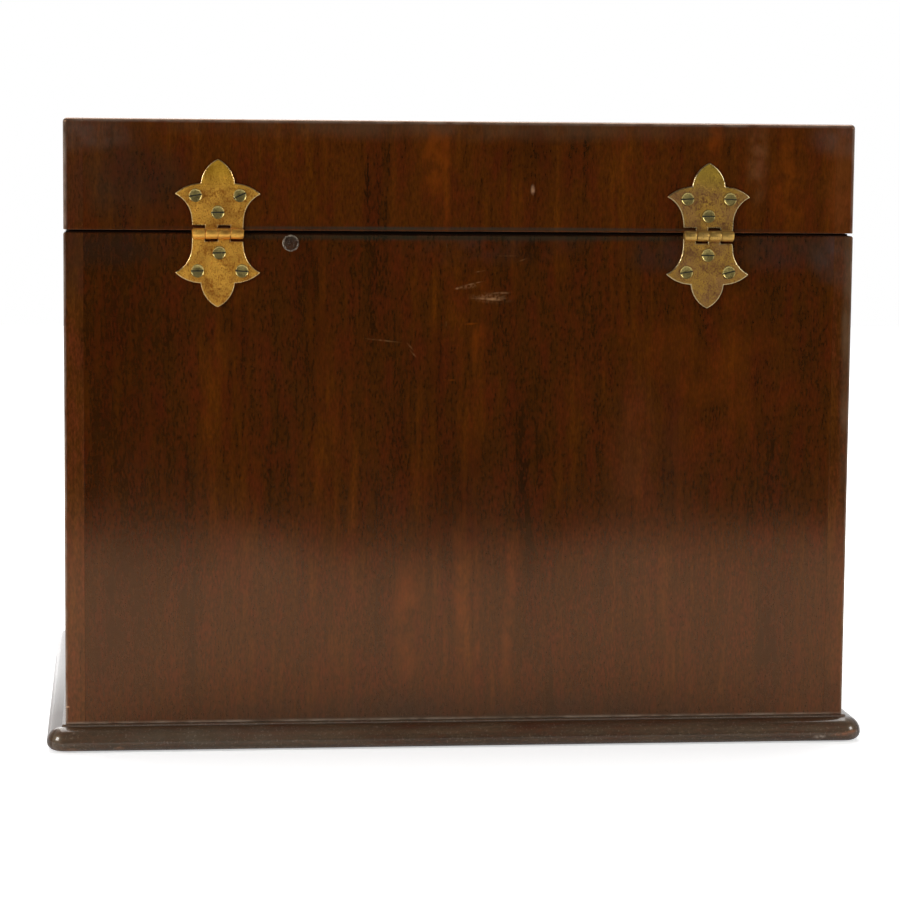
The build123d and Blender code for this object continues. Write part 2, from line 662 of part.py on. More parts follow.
# ---------------------------------------------------------------- drawers
def dovetail_heights(bottom, top):
    """Middle heights of the tails, evenly spread up a corner."""
    pitch = (top - bottom) / DOVETAIL_COUNT
    return [bottom + pitch * (number + 0.5) for number in range(DOVETAIL_COUNT)]


def tails(root, tip, bottom, top):
    """Outline of a corner's tails, in Y and Z, which widen from the root to the tip."""
    half_root = DOVETAIL_HEIGHT / 2 - DOVETAIL_SLOPE * abs(tip - root)
    half_tip = DOVETAIL_HEIGHT / 2
    return [
        make_face(Polyline((root, z - half_root), (tip, z - half_tip), (tip, z + half_tip),
                           (root, z + half_root), close=True))
        for z in dovetail_heights(bottom, top)
    ]


def drawer_bottom(floor):
    """The drawer's bottom board, let into the front and sides and passing under the back."""
    reach = DRAWER_INNER_X + DRAWER_GROOVE_DEPTH
    low = floor + DRAWER_SEAT_CLEARANCE + DRAWER_BOTTOM_RAISE
    high = low + DRAWER_BOTTOM_THICKNESS
    return block(-reach, reach, DRAWER_INNER_FRONT - DRAWER_GROOVE_DEPTH, DRAWER_BACK_Y, low, high)


def drawer_side(floor, sign):
    """A drawer's side with tails at both ends: +1 is the right one."""
    bottom = floor + DRAWER_SEAT_CLEARANCE
    top = bottom + DRAWER_HEIGHT - DRAWER_SIDE_DROP
    side = block(DRAWER_INNER_X, DRAWER_HALF_W, DRAWER_INNER_FRONT, DRAWER_INNER_BACK, bottom, top)
    front_tip = -HALF_D + DOVETAIL_LAP
    for outline in tails(DRAWER_INNER_FRONT, front_tip, bottom, top):
        side += plate_x(outline, DRAWER_INNER_X, DRAWER_HALF_W)
    for outline in tails(DRAWER_INNER_BACK, DRAWER_BACK_Y, bottom, top):
        side += plate_x(outline, DRAWER_INNER_X, DRAWER_HALF_W)
    if sign < 0:
        side = mirror(side, Plane.YZ)
    return side - drawer_bottom(floor)


def pull_post_places(floor):
    """Centres of a drawer's pull posts, at the middle of its front."""
    z = floor + DRAWER_SEAT_CLEARANCE + DRAWER_HEIGHT / 2
    half = PULL_POST_SPACING / 2
    return [(sx * PULL_X + end * half, z) for sx in (-1, 1) for end in (-1, 1)]


def drawer_front(floor):
    """A drawer's front, with blind sockets for the tails, a groove and the pulls' holes."""
    bottom = floor + DRAWER_SEAT_CLEARANCE
    top = bottom + DRAWER_HEIGHT
    front = block(-DRAWER_HALF_W, DRAWER_HALF_W, -HALF_D, DRAWER_INNER_FRONT, bottom, top)
    front -= [drawer_side(floor, -1), drawer_side(floor, 1), drawer_bottom(floor)]
    hole = PULL_SHANK_RADIUS + PULL_SHANK_CLEARANCE
    return front - [rod_y(hole, -HALF_D - CUT, DRAWER_INNER_FRONT + CUT, x, z)
                    for x, z in pull_post_places(floor)]


def drawer_back(floor):
    """A drawer's back, between the tails, standing on the bottom board."""
    bottom = floor + DRAWER_SEAT_CLEARANCE + DRAWER_BOTTOM_RAISE + DRAWER_BOTTOM_THICKNESS
    top = floor + DRAWER_SEAT_CLEARANCE + DRAWER_HEIGHT - DRAWER_BACK_DROP
    back = block(-DRAWER_HALF_W, DRAWER_HALF_W, DRAWER_INNER_BACK, DRAWER_BACK_Y, bottom, top)
    return back - [drawer_side(floor, -1), drawer_side(floor, 1)]


def drawer_lining(floor):
    """The cloth inside a drawer, with gaps round the pulls' nuts."""
    bottom = floor + DRAWER_SEAT_CLEARANCE + DRAWER_BOTTOM_RAISE + DRAWER_BOTTOM_THICKNESS
    top = floor + DRAWER_SEAT_CLEARANCE + DRAWER_HEIGHT - DRAWER_BACK_DROP - LINING
    cloth = block(-DRAWER_INNER_X, DRAWER_INNER_X, DRAWER_INNER_FRONT, DRAWER_INNER_BACK, bottom, top)
    inner_x = DRAWER_INNER_X - LINING
    cloth -= block(-inner_x, inner_x, DRAWER_INNER_FRONT + LINING, DRAWER_INNER_BACK - LINING,
                   bottom + LINING, top + CUT)
    return cloth - [rod_y(PULL_NUT_RADIUS + LINING, DRAWER_INNER_FRONT - CUT,
                          DRAWER_INNER_FRONT + LINING + CUT, x, z) for x, z in pull_post_places(floor)]


def drawer_partitions(floor):
    """Cloth-covered partitions that run from front to back inside a drawer."""
    bottom = (floor + DRAWER_SEAT_CLEARANCE + DRAWER_BOTTOM_RAISE
              + DRAWER_BOTTOM_THICKNESS + LINING)
    middle = PULL_X - PULL_POST_SPACING / 2 - PARTITION_FROM_POST
    boards = []
    for x in (-middle, middle):
        board = block(x - PARTITION_THICKNESS / 2, x + PARTITION_THICKNESS / 2,
                      DRAWER_INNER_FRONT + LINING, DRAWER_INNER_BACK - LINING,
                      bottom, bottom + PARTITION_HEIGHT)
        top = board.faces().sort_by(Axis.Z)[-1]
        boards.append(fillet(top.edges().filter_by(Axis.Y), PARTITION_THICKNESS / 3))
    return group(boards)


def pull_post():
    """A pull's post round the Y axis: ball at the origin, neck, rosette and shank."""
    shank_end = PULL_REACH + DRAWER_FRONT_THICKNESS + PULL_NUT_THICKNESS + CUT
    rim = (PULL_ROSETTE_RADIUS, PULL_REACH - PULL_ROSETTE_THICKNESS / 2)
    collar = (PULL_NECK_RADIUS, PULL_REACH - PULL_ROSETTE_THICKNESS)
    section = Curve() + [
        Polyline((0, 0), (0, shank_end), (PULL_SHANK_RADIUS, shank_end), (PULL_SHANK_RADIUS, PULL_REACH),
                 (PULL_ROSETTE_RADIUS, PULL_REACH), rim),
        bowed(rim, collar, -PULL_ROSETTE_THICKNESS / 4),
        Polyline(collar, (PULL_NECK_RADIUS, 0), (0, 0)),
    ]
    return revolve(make_face(section), Axis.Y) + Sphere(PULL_BALL_RADIUS)


def pull_posts(floor):
    """A drawer's four pull posts, each bored from its pull's outer side for the bail's pin."""
    eye = BAIL_PIN_RADIUS + BAIL_PIN_CLEARANCE
    inner = PULL_BALL_RADIUS - BAIL_PIN_ENGAGEMENT - BAIL_PIN_CLEARANCE
    bored = pull_post() - rod_x(eye, inner, PULL_BALL_RADIUS + CUT, 0, 0)
    handed = [mirror(bored, Plane.YZ), bored]
    return group([Pos(x, PULL_BALL_Y, z) * handed[number % 2]
                  for number, (x, z) in enumerate(pull_post_places(floor))])


def pull_nuts(floor):
    """The hexagonal nuts on the posts' shanks, inside the drawer's front."""
    nuts = []
    for x, z in pull_post_places(floor):
        nut = Plane.XZ * (Pos(x, z) * RegularPolygon(PULL_NUT_RADIUS, 6))
        nut = Pos(0, DRAWER_INNER_FRONT + PULL_NUT_THICKNESS, 0) * extrude(nut, amount=PULL_NUT_THICKNESS)
        hole = PULL_SHANK_RADIUS + PULL_SHANK_CLEARANCE
        nuts.append(nut - rod_y(hole, DRAWER_INNER_FRONT - CUT,
                                DRAWER_INNER_FRONT + PULL_NUT_THICKNESS + CUT, x, z))
    return group(nuts)


def bail(floor, sign):
    """A bail that hangs from two posts: bent wire, a turned grip and a pin at each end."""
    z = floor + DRAWER_SEAT_CLEARANCE + DRAWER_HEIGHT / 2
    pin_end = PULL_POST_SPACING / 2 + PULL_BALL_RADIUS - BAIL_PIN_ENGAGEMENT
    points = [(-BAIL_HALF_WIDTH, 0), (-BAIL_HALF_WIDTH, -BAIL_DROP),
              (BAIL_HALF_WIDTH, -BAIL_DROP), (BAIL_HALF_WIDTH, 0)]
    path = FilletPolyline(*points, radius=BAIL_CORNER_RADIUS)
    wire = sweep(Plane.XY * (Pos(-BAIL_HALF_WIDTH, 0) * Circle(BAIL_WIRE_RADIUS)), path=Plane.XZ * path)
    for side in (-1, 1):
        wire += Pos(side * BAIL_HALF_WIDTH, 0, 0) * Sphere(BAIL_WIRE_RADIUS)
        ends = sorted((side * pin_end, side * BAIL_HALF_WIDTH))
        wire += rod_x(BAIL_PIN_RADIUS, *ends, 0, 0)
    swell = bowed((BAIL_GRIP_LENGTH / 2, BAIL_WIRE_RADIUS), (-BAIL_GRIP_LENGTH / 2, BAIL_WIRE_RADIUS),
                  BAIL_GRIP_RADIUS - BAIL_WIRE_RADIUS)
    grip = make_face(swell + Polyline((BAIL_GRIP_LENGTH / 2, BAIL_WIRE_RADIUS), (BAIL_GRIP_LENGTH / 2, 0),
                                      (-BAIL_GRIP_LENGTH / 2, 0), (-BAIL_GRIP_LENGTH / 2, BAIL_WIRE_RADIUS)))
    wire += Pos(0, 0, -BAIL_DROP) * revolve(grip, Axis.X)
    return Pos(sign * PULL_X, PULL_BALL_Y, z) * wire


# ---------------------------------------------------------------- the whole chest
def carcase_pieces():
    """Every piece of the standing body."""
    return {
        "base_felt": base_felt(),
        "base_board": base_board(),
        "base_screws": base_screws(),
        "left_side_panel": side_panel(-1),
        "right_side_panel": side_panel(1),
        "back_panel": back_panel(),
        "well_front_rail": well_front_rail(),
        "well_floor": well_floor(),
        "drawer_divider": drawer_divider(),
        "drawer_stops": drawer_stops(),
        "well_lining": well_lining(),
        "well_front_rack": well_rack(-RACK_Y),
        "well_rear_rack": well_rack(RACK_Y),
        "left_hinge_lower_leaf": hinge_leaf("left", lid=False),
        "right_hinge_lower_leaf": hinge_leaf("right", lid=False),
        "left_hinge_pin": hinge_pin("left"),
        "right_hinge_pin": hinge_pin("right"),
        "lower_leaf_screws": hinge_screws(-1),
        "stay_body_bracket": stay_bracket(lid=False),
        "stay_body_screws": small_screws(stay_screw_places(lid=False)),
        "clear_bumper": clear_bumper(),
    }


def lid_pieces():
    """Every piece that lifts with the lid, and the stay's two bars."""
    return {
        "lid_top_panel": lid_top_panel(),
        "lid_left_rail": lid_rail_side(-1),
        "lid_right_rail": lid_rail_side(1),
        "lid_front_rail": lid_rail_end(-1),
        "lid_back_rail": lid_rail_end(1),
        "lid_lining": lid_lining(),
        "lid_knife_racks": knife_racks(),
        "left_hinge_upper_leaf": hinge_leaf("left", lid=True),
        "right_hinge_upper_leaf": hinge_leaf("right", lid=True),
        "upper_leaf_screws": hinge_screws(1),
        "stay_lid_bracket": stay_bracket(lid=True),
        "stay_lid_screws": small_screws(stay_screw_places(lid=True)),
        "stay_upper_arm": stay_upper_arm(),
        "stay_lower_arm": stay_lower_arm(),
        "stay_elbow_rivet": stay_elbow_rivet(),
    }


def drawer_pieces(name):
    """Every piece of the upper or the lower drawer, with its two bails."""
    floor = DRAWER_FLOORS[name]
    return {
        f"{name}_drawer_front": drawer_front(floor),
        f"{name}_drawer_left_side": drawer_side(floor, -1),
        f"{name}_drawer_right_side": drawer_side(floor, 1),
        f"{name}_drawer_back": drawer_back(floor),
        f"{name}_drawer_bottom": drawer_bottom(floor),
        f"{name}_drawer_lining": drawer_lining(floor),
        f"{name}_pull_posts": pull_posts(floor),
        f"{name}_pull_nuts": pull_nuts(floor),
        f"{name}_left_bail": bail(floor, -1),
        f"{name}_right_bail": bail(floor, 1),
    }


def main():
    """Writes every piece of the chest to its own file."""
    os.makedirs("parts", exist_ok=True)
    pieces = {**carcase_pieces(), **lid_pieces(), **drawer_pieces("upper"), **drawer_pieces("lower")}
    pieces["upper_drawer_partitions"] = drawer_partitions(DRAWER_FLOORS["upper"])
    for name, piece in pieces.items():
        export_step(piece, f"parts/{name}.step")


main()
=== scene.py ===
"""The looks of a mahogany silverware chest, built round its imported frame.

Every piece is in metres and in the frame's own axes: +X to the right seen from the drawers,
+Y to the hinged back and +Z up. Sizes in the classes below are real millimetres.
"""

import logging
from dataclasses import dataclass, field
from enum import Enum
from math import asin, cos, hypot, pi, radians, sin
from typing import Any, Callable, Optional, Sequence

import bmesh
import bpy
from mathutils import Matrix, Vector


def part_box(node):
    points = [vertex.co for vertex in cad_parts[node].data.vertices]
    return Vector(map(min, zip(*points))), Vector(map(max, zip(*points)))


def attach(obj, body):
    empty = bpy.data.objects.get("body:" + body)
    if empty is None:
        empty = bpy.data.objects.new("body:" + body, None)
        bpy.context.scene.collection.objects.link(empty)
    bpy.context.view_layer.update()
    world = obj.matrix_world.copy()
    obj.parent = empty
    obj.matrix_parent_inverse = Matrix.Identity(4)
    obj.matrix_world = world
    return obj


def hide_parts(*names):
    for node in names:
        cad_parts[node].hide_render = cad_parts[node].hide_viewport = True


LOG = logging.getLogger("silverware_chest")
MM = 0.001
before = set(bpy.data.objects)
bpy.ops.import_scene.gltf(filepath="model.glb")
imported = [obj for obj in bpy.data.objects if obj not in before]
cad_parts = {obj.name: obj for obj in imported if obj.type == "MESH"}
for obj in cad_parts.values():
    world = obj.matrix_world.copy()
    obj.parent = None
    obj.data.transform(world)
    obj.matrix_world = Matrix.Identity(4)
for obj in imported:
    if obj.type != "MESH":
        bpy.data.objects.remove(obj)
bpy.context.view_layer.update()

Piece = bpy.types.Object
Tree = bpy.types.ShaderNodeTree
Socket = bpy.types.NodeSocket
Colour = tuple[float, float, float, float]
Point = tuple[float, float]

NEAR = MM / 10  # an edge lies at a place when it is nearer than this
FACING = 0.7  # a face looks along an axis when its normal's part along it is more than this
LEVEL = 0.99  # a face is level when its normal's part along Z is more than this


# ---------------------------------------------------------------- modelling by hand
def deselect() -> None:
    """Leaves object mode active with nothing selected."""
    if bpy.context.mode != "OBJECT":
        bpy.ops.object.mode_set(mode="OBJECT")
    bpy.ops.object.select_all(action="DESELECT")


def take(piece: Piece) -> None:
    """Makes a piece the only selected object and the active one.

    Args:
        piece: The piece.
    """
    deselect()
    piece.select_set(True)
    bpy.context.view_layer.objects.active = piece


def settle(piece: Piece) -> Piece:
    """Moves a piece's place, turn and size into its mesh.

    Args:
        piece: The piece.

    Returns:
        The same piece, at the origin.
    """
    take(piece)
    bpy.ops.object.transform_apply(location=True, rotation=True, scale=True)
    return piece


def block(name: str, low: Sequence[float], high: Sequence[float]) -> Piece:
    """Adds a cube and sizes it to a box.

    Args:
        name: The piece's name.
        low: The box's lowest corner, in metres.
        high: The box's highest corner, in metres.

    Returns:
        The new piece, with its place in its mesh.
    """
    deselect()
    low, high = Vector(low), Vector(high)
    bpy.ops.mesh.primitive_cube_add(size=1.0, location=(low + high) / 2)
    piece = bpy.context.object
    piece.name = name
    piece.scale = high - low
    return settle(piece)


class Part(Enum):
    """What select picks in edit mode."""

    FACES = "FACE"
    EDGES = "EDGE"


def select(piece: Piece, kind: Part, test: Callable[[Any], bool]) -> None:
    """Enters edit mode and selects only the faces or edges that pass a test.

    Args:
        piece: The piece to edit.
        kind: Whether faces or edges are picked.
        test: Says whether a bmesh face or edge is selected.
    """
    take(piece)
    bpy.ops.object.mode_set(mode="EDIT")
    bpy.ops.mesh.select_mode(type=kind.value)
    bpy.ops.mesh.select_all(action="DESELECT")
    mesh = bmesh.from_edit_mesh(piece.data)
    for element in mesh.faces if kind is Part.FACES else mesh.edges:
        if test(element):
            element.select_set(True)
    bmesh.update_edit_mesh(piece.data)


def select_all_faces(piece: Piece) -> None:
    """Enters edit mode with every face selected."""
    select(piece, Part.FACES, lambda face: True)


def bevel(piece: Piece, width: float, segments: int, test: Callable[[Any], bool]) -> None:
    """Bevels the edges that pass a test.

    Args:
        piece: The piece to edit.
        width: The bevel's width in millimetres.
        segments: Faces across the bevel.
        test: Says whether a bmesh edge is bevelled.
    """
    select(piece, Part.EDGES, test)
    bpy.ops.mesh.bevel(offset=width * MM, segments=segments, affect="EDGES")
    bpy.ops.object.mode_set(mode="OBJECT")


def close_up() -> None:
    """Points every face of the mesh in edit mode outwards and leaves edit mode."""
    bpy.ops.mesh.select_all(action="SELECT")
    bpy.ops.mesh.normals_make_consistent(inside=False)
    bpy.ops.object.mode_set(mode="OBJECT")


def sort_faces(piece: Piece, slot: Callable[[Any], int]) -> Piece:
    """Puts each face of a piece in a material slot.

    Args:
        piece: The piece.
        slot: Says which slot a face belongs in.

    Returns:
        The same piece.
    """
    for face in piece.data.polygons:
        face.material_index = slot(face)
    return piece


def smoothed(piece: Piece, degrees: float) -> Piece:
    """Shades a piece smooth, except over edges sharper than an angle.

    Args:
        piece: The piece to shade.
        degrees: The sharpest angle that is still shaded smooth.

    Returns:
        The same piece.
    """
    take(piece)
    bpy.ops.object.shade_smooth_by_angle(angle=radians(degrees))
    return piece


def modify(piece: Piece, kind: str, **settings: Any) -> Piece:
    """Adds a modifier to a piece and applies it.

    Args:
        piece: The piece to change.
        kind: The modifier's type, such as BEVEL.
        **settings: The modifier's own settings.

    Returns:
        The same piece.
    """
    take(piece)
    modifier = piece.modifiers.new(kind.title(), kind)
    for name, value in settings.items():
        setattr(modifier, name, value)
    bpy.ops.object.modifier_apply(modifier=modifier.name)
    return piece


def ease(piece: Piece, width: float, segments: int = 3, angle: float = 35.0,
         material: int = -1) -> Piece:
    """Rounds a piece's sharp edges, as sanding or stamping leaves them.

    Args:
        piece: The piece to round.
        width: The rounding's width in millimetres.
        segments: Faces across the rounding.
        angle: Edges sharper than this many degrees are rounded.
        material: The slot that the rounded faces take, or -1 to keep their neighbours'.

    Returns:
        The same piece, shaded smooth, its flat faces still flat.
    """
    modify(piece, "BEVEL", width=width * MM, segments=segments, limit_method="ANGLE",
           angle_limit=radians(angle), use_clamp_overlap=False, material=material)
    return shaded(piece)


def shaded(piece: Piece) -> Piece:
    """Shades a piece smooth over its roundings and flat on its big faces."""
    return modify(smoothed(piece, 50), "WEIGHTED_NORMAL", mode="FACE_AREA", weight=60, keep_sharp=True)


def turned(name: str, rings: Sequence[Point], sides: int = 48) -> Piece:
    """Turns a round piece about +Z from the origin, by extruding and sizing a circle.

    Args:
        name: The piece's name.
        rings: Radius and height of each ring in millimetres, from the bottom up.
        sides: Faces round the piece.

    Returns:
        The new piece, closed at both ends.
    """
    deselect()
    radius, height = rings[0]
    bpy.ops.mesh.primitive_circle_add(
        vertices=sides, radius=radius * MM, fill_type="NGON", location=(0, 0, height * MM))
    piece = bpy.context.object
    piece.name = name
    select_all_faces(settle(piece))
    for new_radius, new_height in rings[1:]:
        rise = (new_height - height) * MM
        bpy.ops.mesh.extrude_region_move(TRANSFORM_OT_translate={"value": (0, 0, rise)})
        scale = new_radius / radius
        bpy.ops.transform.resize(value=(scale, scale, 1), center_override=(0, 0, new_height * MM))
        radius, height = new_radius, new_height
    close_up()
    return piece


def bowed(start: Point, end: Point, swell: float, steps: int = 8) -> list[Point]:
    """Points along an arc between two points, the start left out.

    Args:
        start: Where the arc starts.
        end: Where it ends.
        swell: How far its middle stands out to the right of the line, or in where negative.
        steps: Number of points.

    Returns:
        The points, in the units of the ends.
    """
    run, rise = end[0] - start[0], end[1] - start[1]
    length = hypot(run, rise)
    radius = (length * length / 4 + swell * swell) / (2 * abs(swell))
    half_angle = asin(length / 2 / radius)
    points = []
    for step in range(1, steps + 1):
        angle = half_angle * (2 * step / steps - 1)
        along = (1 + sin(angle) / sin(half_angle)) / 2
        out = (cos(angle) - cos(half_angle)) * radius * (1 if swell > 0 else -1) / length
        points.append((start[0] + run * along + rise * out, start[1] + rise * along - run * out))
    return points


def plate(name: str, outline: Sequence[Point], back: float, front: float) -> Piece:
    """Extrudes an outline drawn in X and Z along Y.

    Args:
        name: The piece's name.
        outline: Its corners in millimetres, in order.
        back: Y of the face against the wood, in millimetres.
        front: Y of the outer face, in millimetres.

    Returns:
        The plate.
    """
    deselect()
    bpy.ops.mesh.primitive_circle_add(vertices=len(outline), radius=1.0, fill_type="NGON")
    piece = bpy.context.object
    piece.name = name
    for vertex, (x, z) in zip(piece.data.vertices, outline):
        vertex.co = (x * MM, back * MM, z * MM)
    select_all_faces(piece)
    bpy.ops.mesh.extrude_region_move(TRANSFORM_OT_translate={"value": (0, (front - back) * MM, 0)})
    close_up()
    return piece


def turn(axis: str, degrees: float) -> Matrix:
    """The matrix of a turn about an axis."""
    return Matrix.Rotation(radians(degrees), 4, axis)


def placed(piece: Piece, place: Matrix) -> Piece:
    """Puts a piece at a place and keeps that place in its mesh."""
    piece.matrix_world = place
    return settle(piece)


def joined(name: str, pieces: Sequence[Piece]) -> Piece:
    """Joins pieces into one.

    Args:
        name: The joined piece's name.
        pieces: The pieces, of which the first takes in the others.

    Returns:
        The joined piece.
    """
    deselect()
    for piece in pieces:
        piece.select_set(True)
    bpy.context.view_layer.objects.active = pieces[0]
    bpy.ops.object.join()
    pieces[0].name = name
    return pieces[0]


def copied(name: str, piece: Piece) -> Piece:
    """Copies a piece, with a mesh of its own.

    Args:
        name: The copy's name.
        piece: The piece to copy.

    Returns:
        The copy.
    """
    copy = bpy.data.objects.new(name, piece.data.copy())
    bpy.context.scene.collection.objects.link(copy)
    return copy


def copy_of(node: str) -> Piece:
    """A merged copy of a frame node's mesh, ready to be finished by hand.

    Args:
        node: The node's name.

    Returns:
        The new piece, with flat faces joined up.
    """
    piece = copied(f"{node}_finished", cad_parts[node])
    piece.data.materials.clear()
    select_all_faces(piece)
    bpy.ops.mesh.remove_doubles(threshold=0.002 * MM)
    bpy.ops.mesh.dissolve_limited(angle_limit=radians(0.5))
    bpy.ops.object.mode_set(mode="OBJECT")
    return piece


def at(edge: bmesh.types.BMEdge, axis: int, value: float) -> bool:
    """Says whether both ends of an edge lie at a place along an axis, in metres."""
    return all(abs(vertex.co[axis] - value) < NEAR for vertex in edge.verts)


def cut_out(piece: Piece, cutter: Piece) -> Piece:
    """Takes the space of a cutter away from a piece.

    Args:
        piece: The piece to cut.
        cutter: The cutter, which is used up.

    Returns:
        The cut piece.
    """
    modify(piece, "BOOLEAN", object=cutter, operation="DIFFERENCE", solver="EXACT")
    bpy.data.objects.remove(cutter)
    return piece


def board(node: str, round_mm: float) -> Piece:
    """A flat board that fills a node's box, with rounded edges."""
    low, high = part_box(node)
    return ease(block(f"{node}_finished", low, high), round_mm)


# ---------------------------------------------------------------- materials
def linear(code: str) -> Colour:
    """Turns a colour as written into the linear one that Blender reckons with.

    Args:
        code: An sRGB hex colour, such as #4a2608.

    Returns:
        The linear colour, opaque.
    """
    channels = [int(code[start:start + 2], 16) / 255 for start in (1, 3, 5)]
    curve = [c / 12.92 if c <= 0.04045 else ((c + 0.055) / 1.055) ** 2.4 for c in channels]
    return (*curve, 1.0)


def add(
    tree: Tree,
    kind: str,
    inputs: Optional[dict[Any, Any]] = None,
    stops: Sequence[tuple[float, str]] = (),
    **settings: Any,
) -> bpy.types.Node:
    """Adds one node with its settings and links.

    Args:
        tree: The node tree.
        kind: The node's type, without the ShaderNode that all of them start with.
        inputs: Socket name or number to a value or to another node's output.
        stops: Places and colours of a colour ramp.
        **settings: The node's own settings.

    Returns:
        The new node.
    """
    node = tree.nodes.new(f"ShaderNode{kind}")
    for name, value in settings.items():
        setattr(node, name, value)
    if stops:
        elements = node.color_ramp.elements
        elements.remove(elements[1])
        elements[0].position, elements[0].color = stops[0][0], linear(stops[0][1])
        for place, colour in stops[1:]:
            elements.new(place).color = linear(colour)
    connect(tree, node, inputs or {})
    return node


def connect(tree: Tree, node: bpy.types.Node, inputs: dict[Any, Any]) -> None:
    """Gives a node's inputs their values or links.

    Args:
        tree: The node tree.
        node: The node.
        inputs: Socket name or number to a value or to another node's output.
    """
    for name, value in inputs.items():
        if isinstance(value, Socket):
            tree.links.new(value, node.inputs[name])
        else:
            node.inputs[name].default_value = value


def layered(tree: Tree, colour: Socket, layers: Sequence[tuple[Socket, str]]) -> Socket:
    """Lays colours over a ground, one after the other.

    Args:
        tree: The node tree.
        colour: The ground's colour.
        layers: How much of each layer lies where, and its colour. A stain darkens the ground,
            and any other colour covers it.

    Returns:
        The colour of all layers together.
    """
    for amount, code in layers:
        colour = add(tree, "Mix", {0: amount, 6: colour, 7: linear(code)}, data_type="RGBA",
                     blend_type="MULTIPLY" if code == STAINED else "MIX").outputs[2]
    return colour


class Grain(Enum):
    """The axis that a board's grain runs along."""

    ACROSS = 0
    DEPTH = 1
    UP = 2

    def scales(self, width: float, length: float) -> tuple[float, float, float]:
        """Sizes a pattern for this grain.

        Args:
            width: Width of its marks across the grain, in millimetres.
            length: Length of its marks along the grain, in millimetres.

        Returns:
            The scales of a Mapping node.
        """
        scales = [1 / (width * MM)] * 3
        scales[self.value] = 1 / (length * MM)
        return tuple(scales)


@dataclass(frozen=True)
class Mark:
    """A soft spot or line on the back: a scratch, a bruise, haze, a band of the figure, or painted
    shade.

    Its place, length and width are in millimetres and its turn in degrees. Its strength goes
    down to the given least share between grains of its grit.
    """

    x: float
    z: float
    length: float
    width: float
    turn: float
    strength: float
    colour: str = "#8e6744"
    grit_mm: float = 2.4
    least: float = 0.15


@dataclass(frozen=True)
class Shell:
    """The box whose edges a finish wears thin at, in millimetres."""

    half_width: float
    half_depth: float
    low: float
    high: float


@dataclass(frozen=True)
class Warp:
    """A slight lean of an old board's face, strongest along one upright line, in millimetres."""

    x: float
    near: float
    far: float
    lean: float


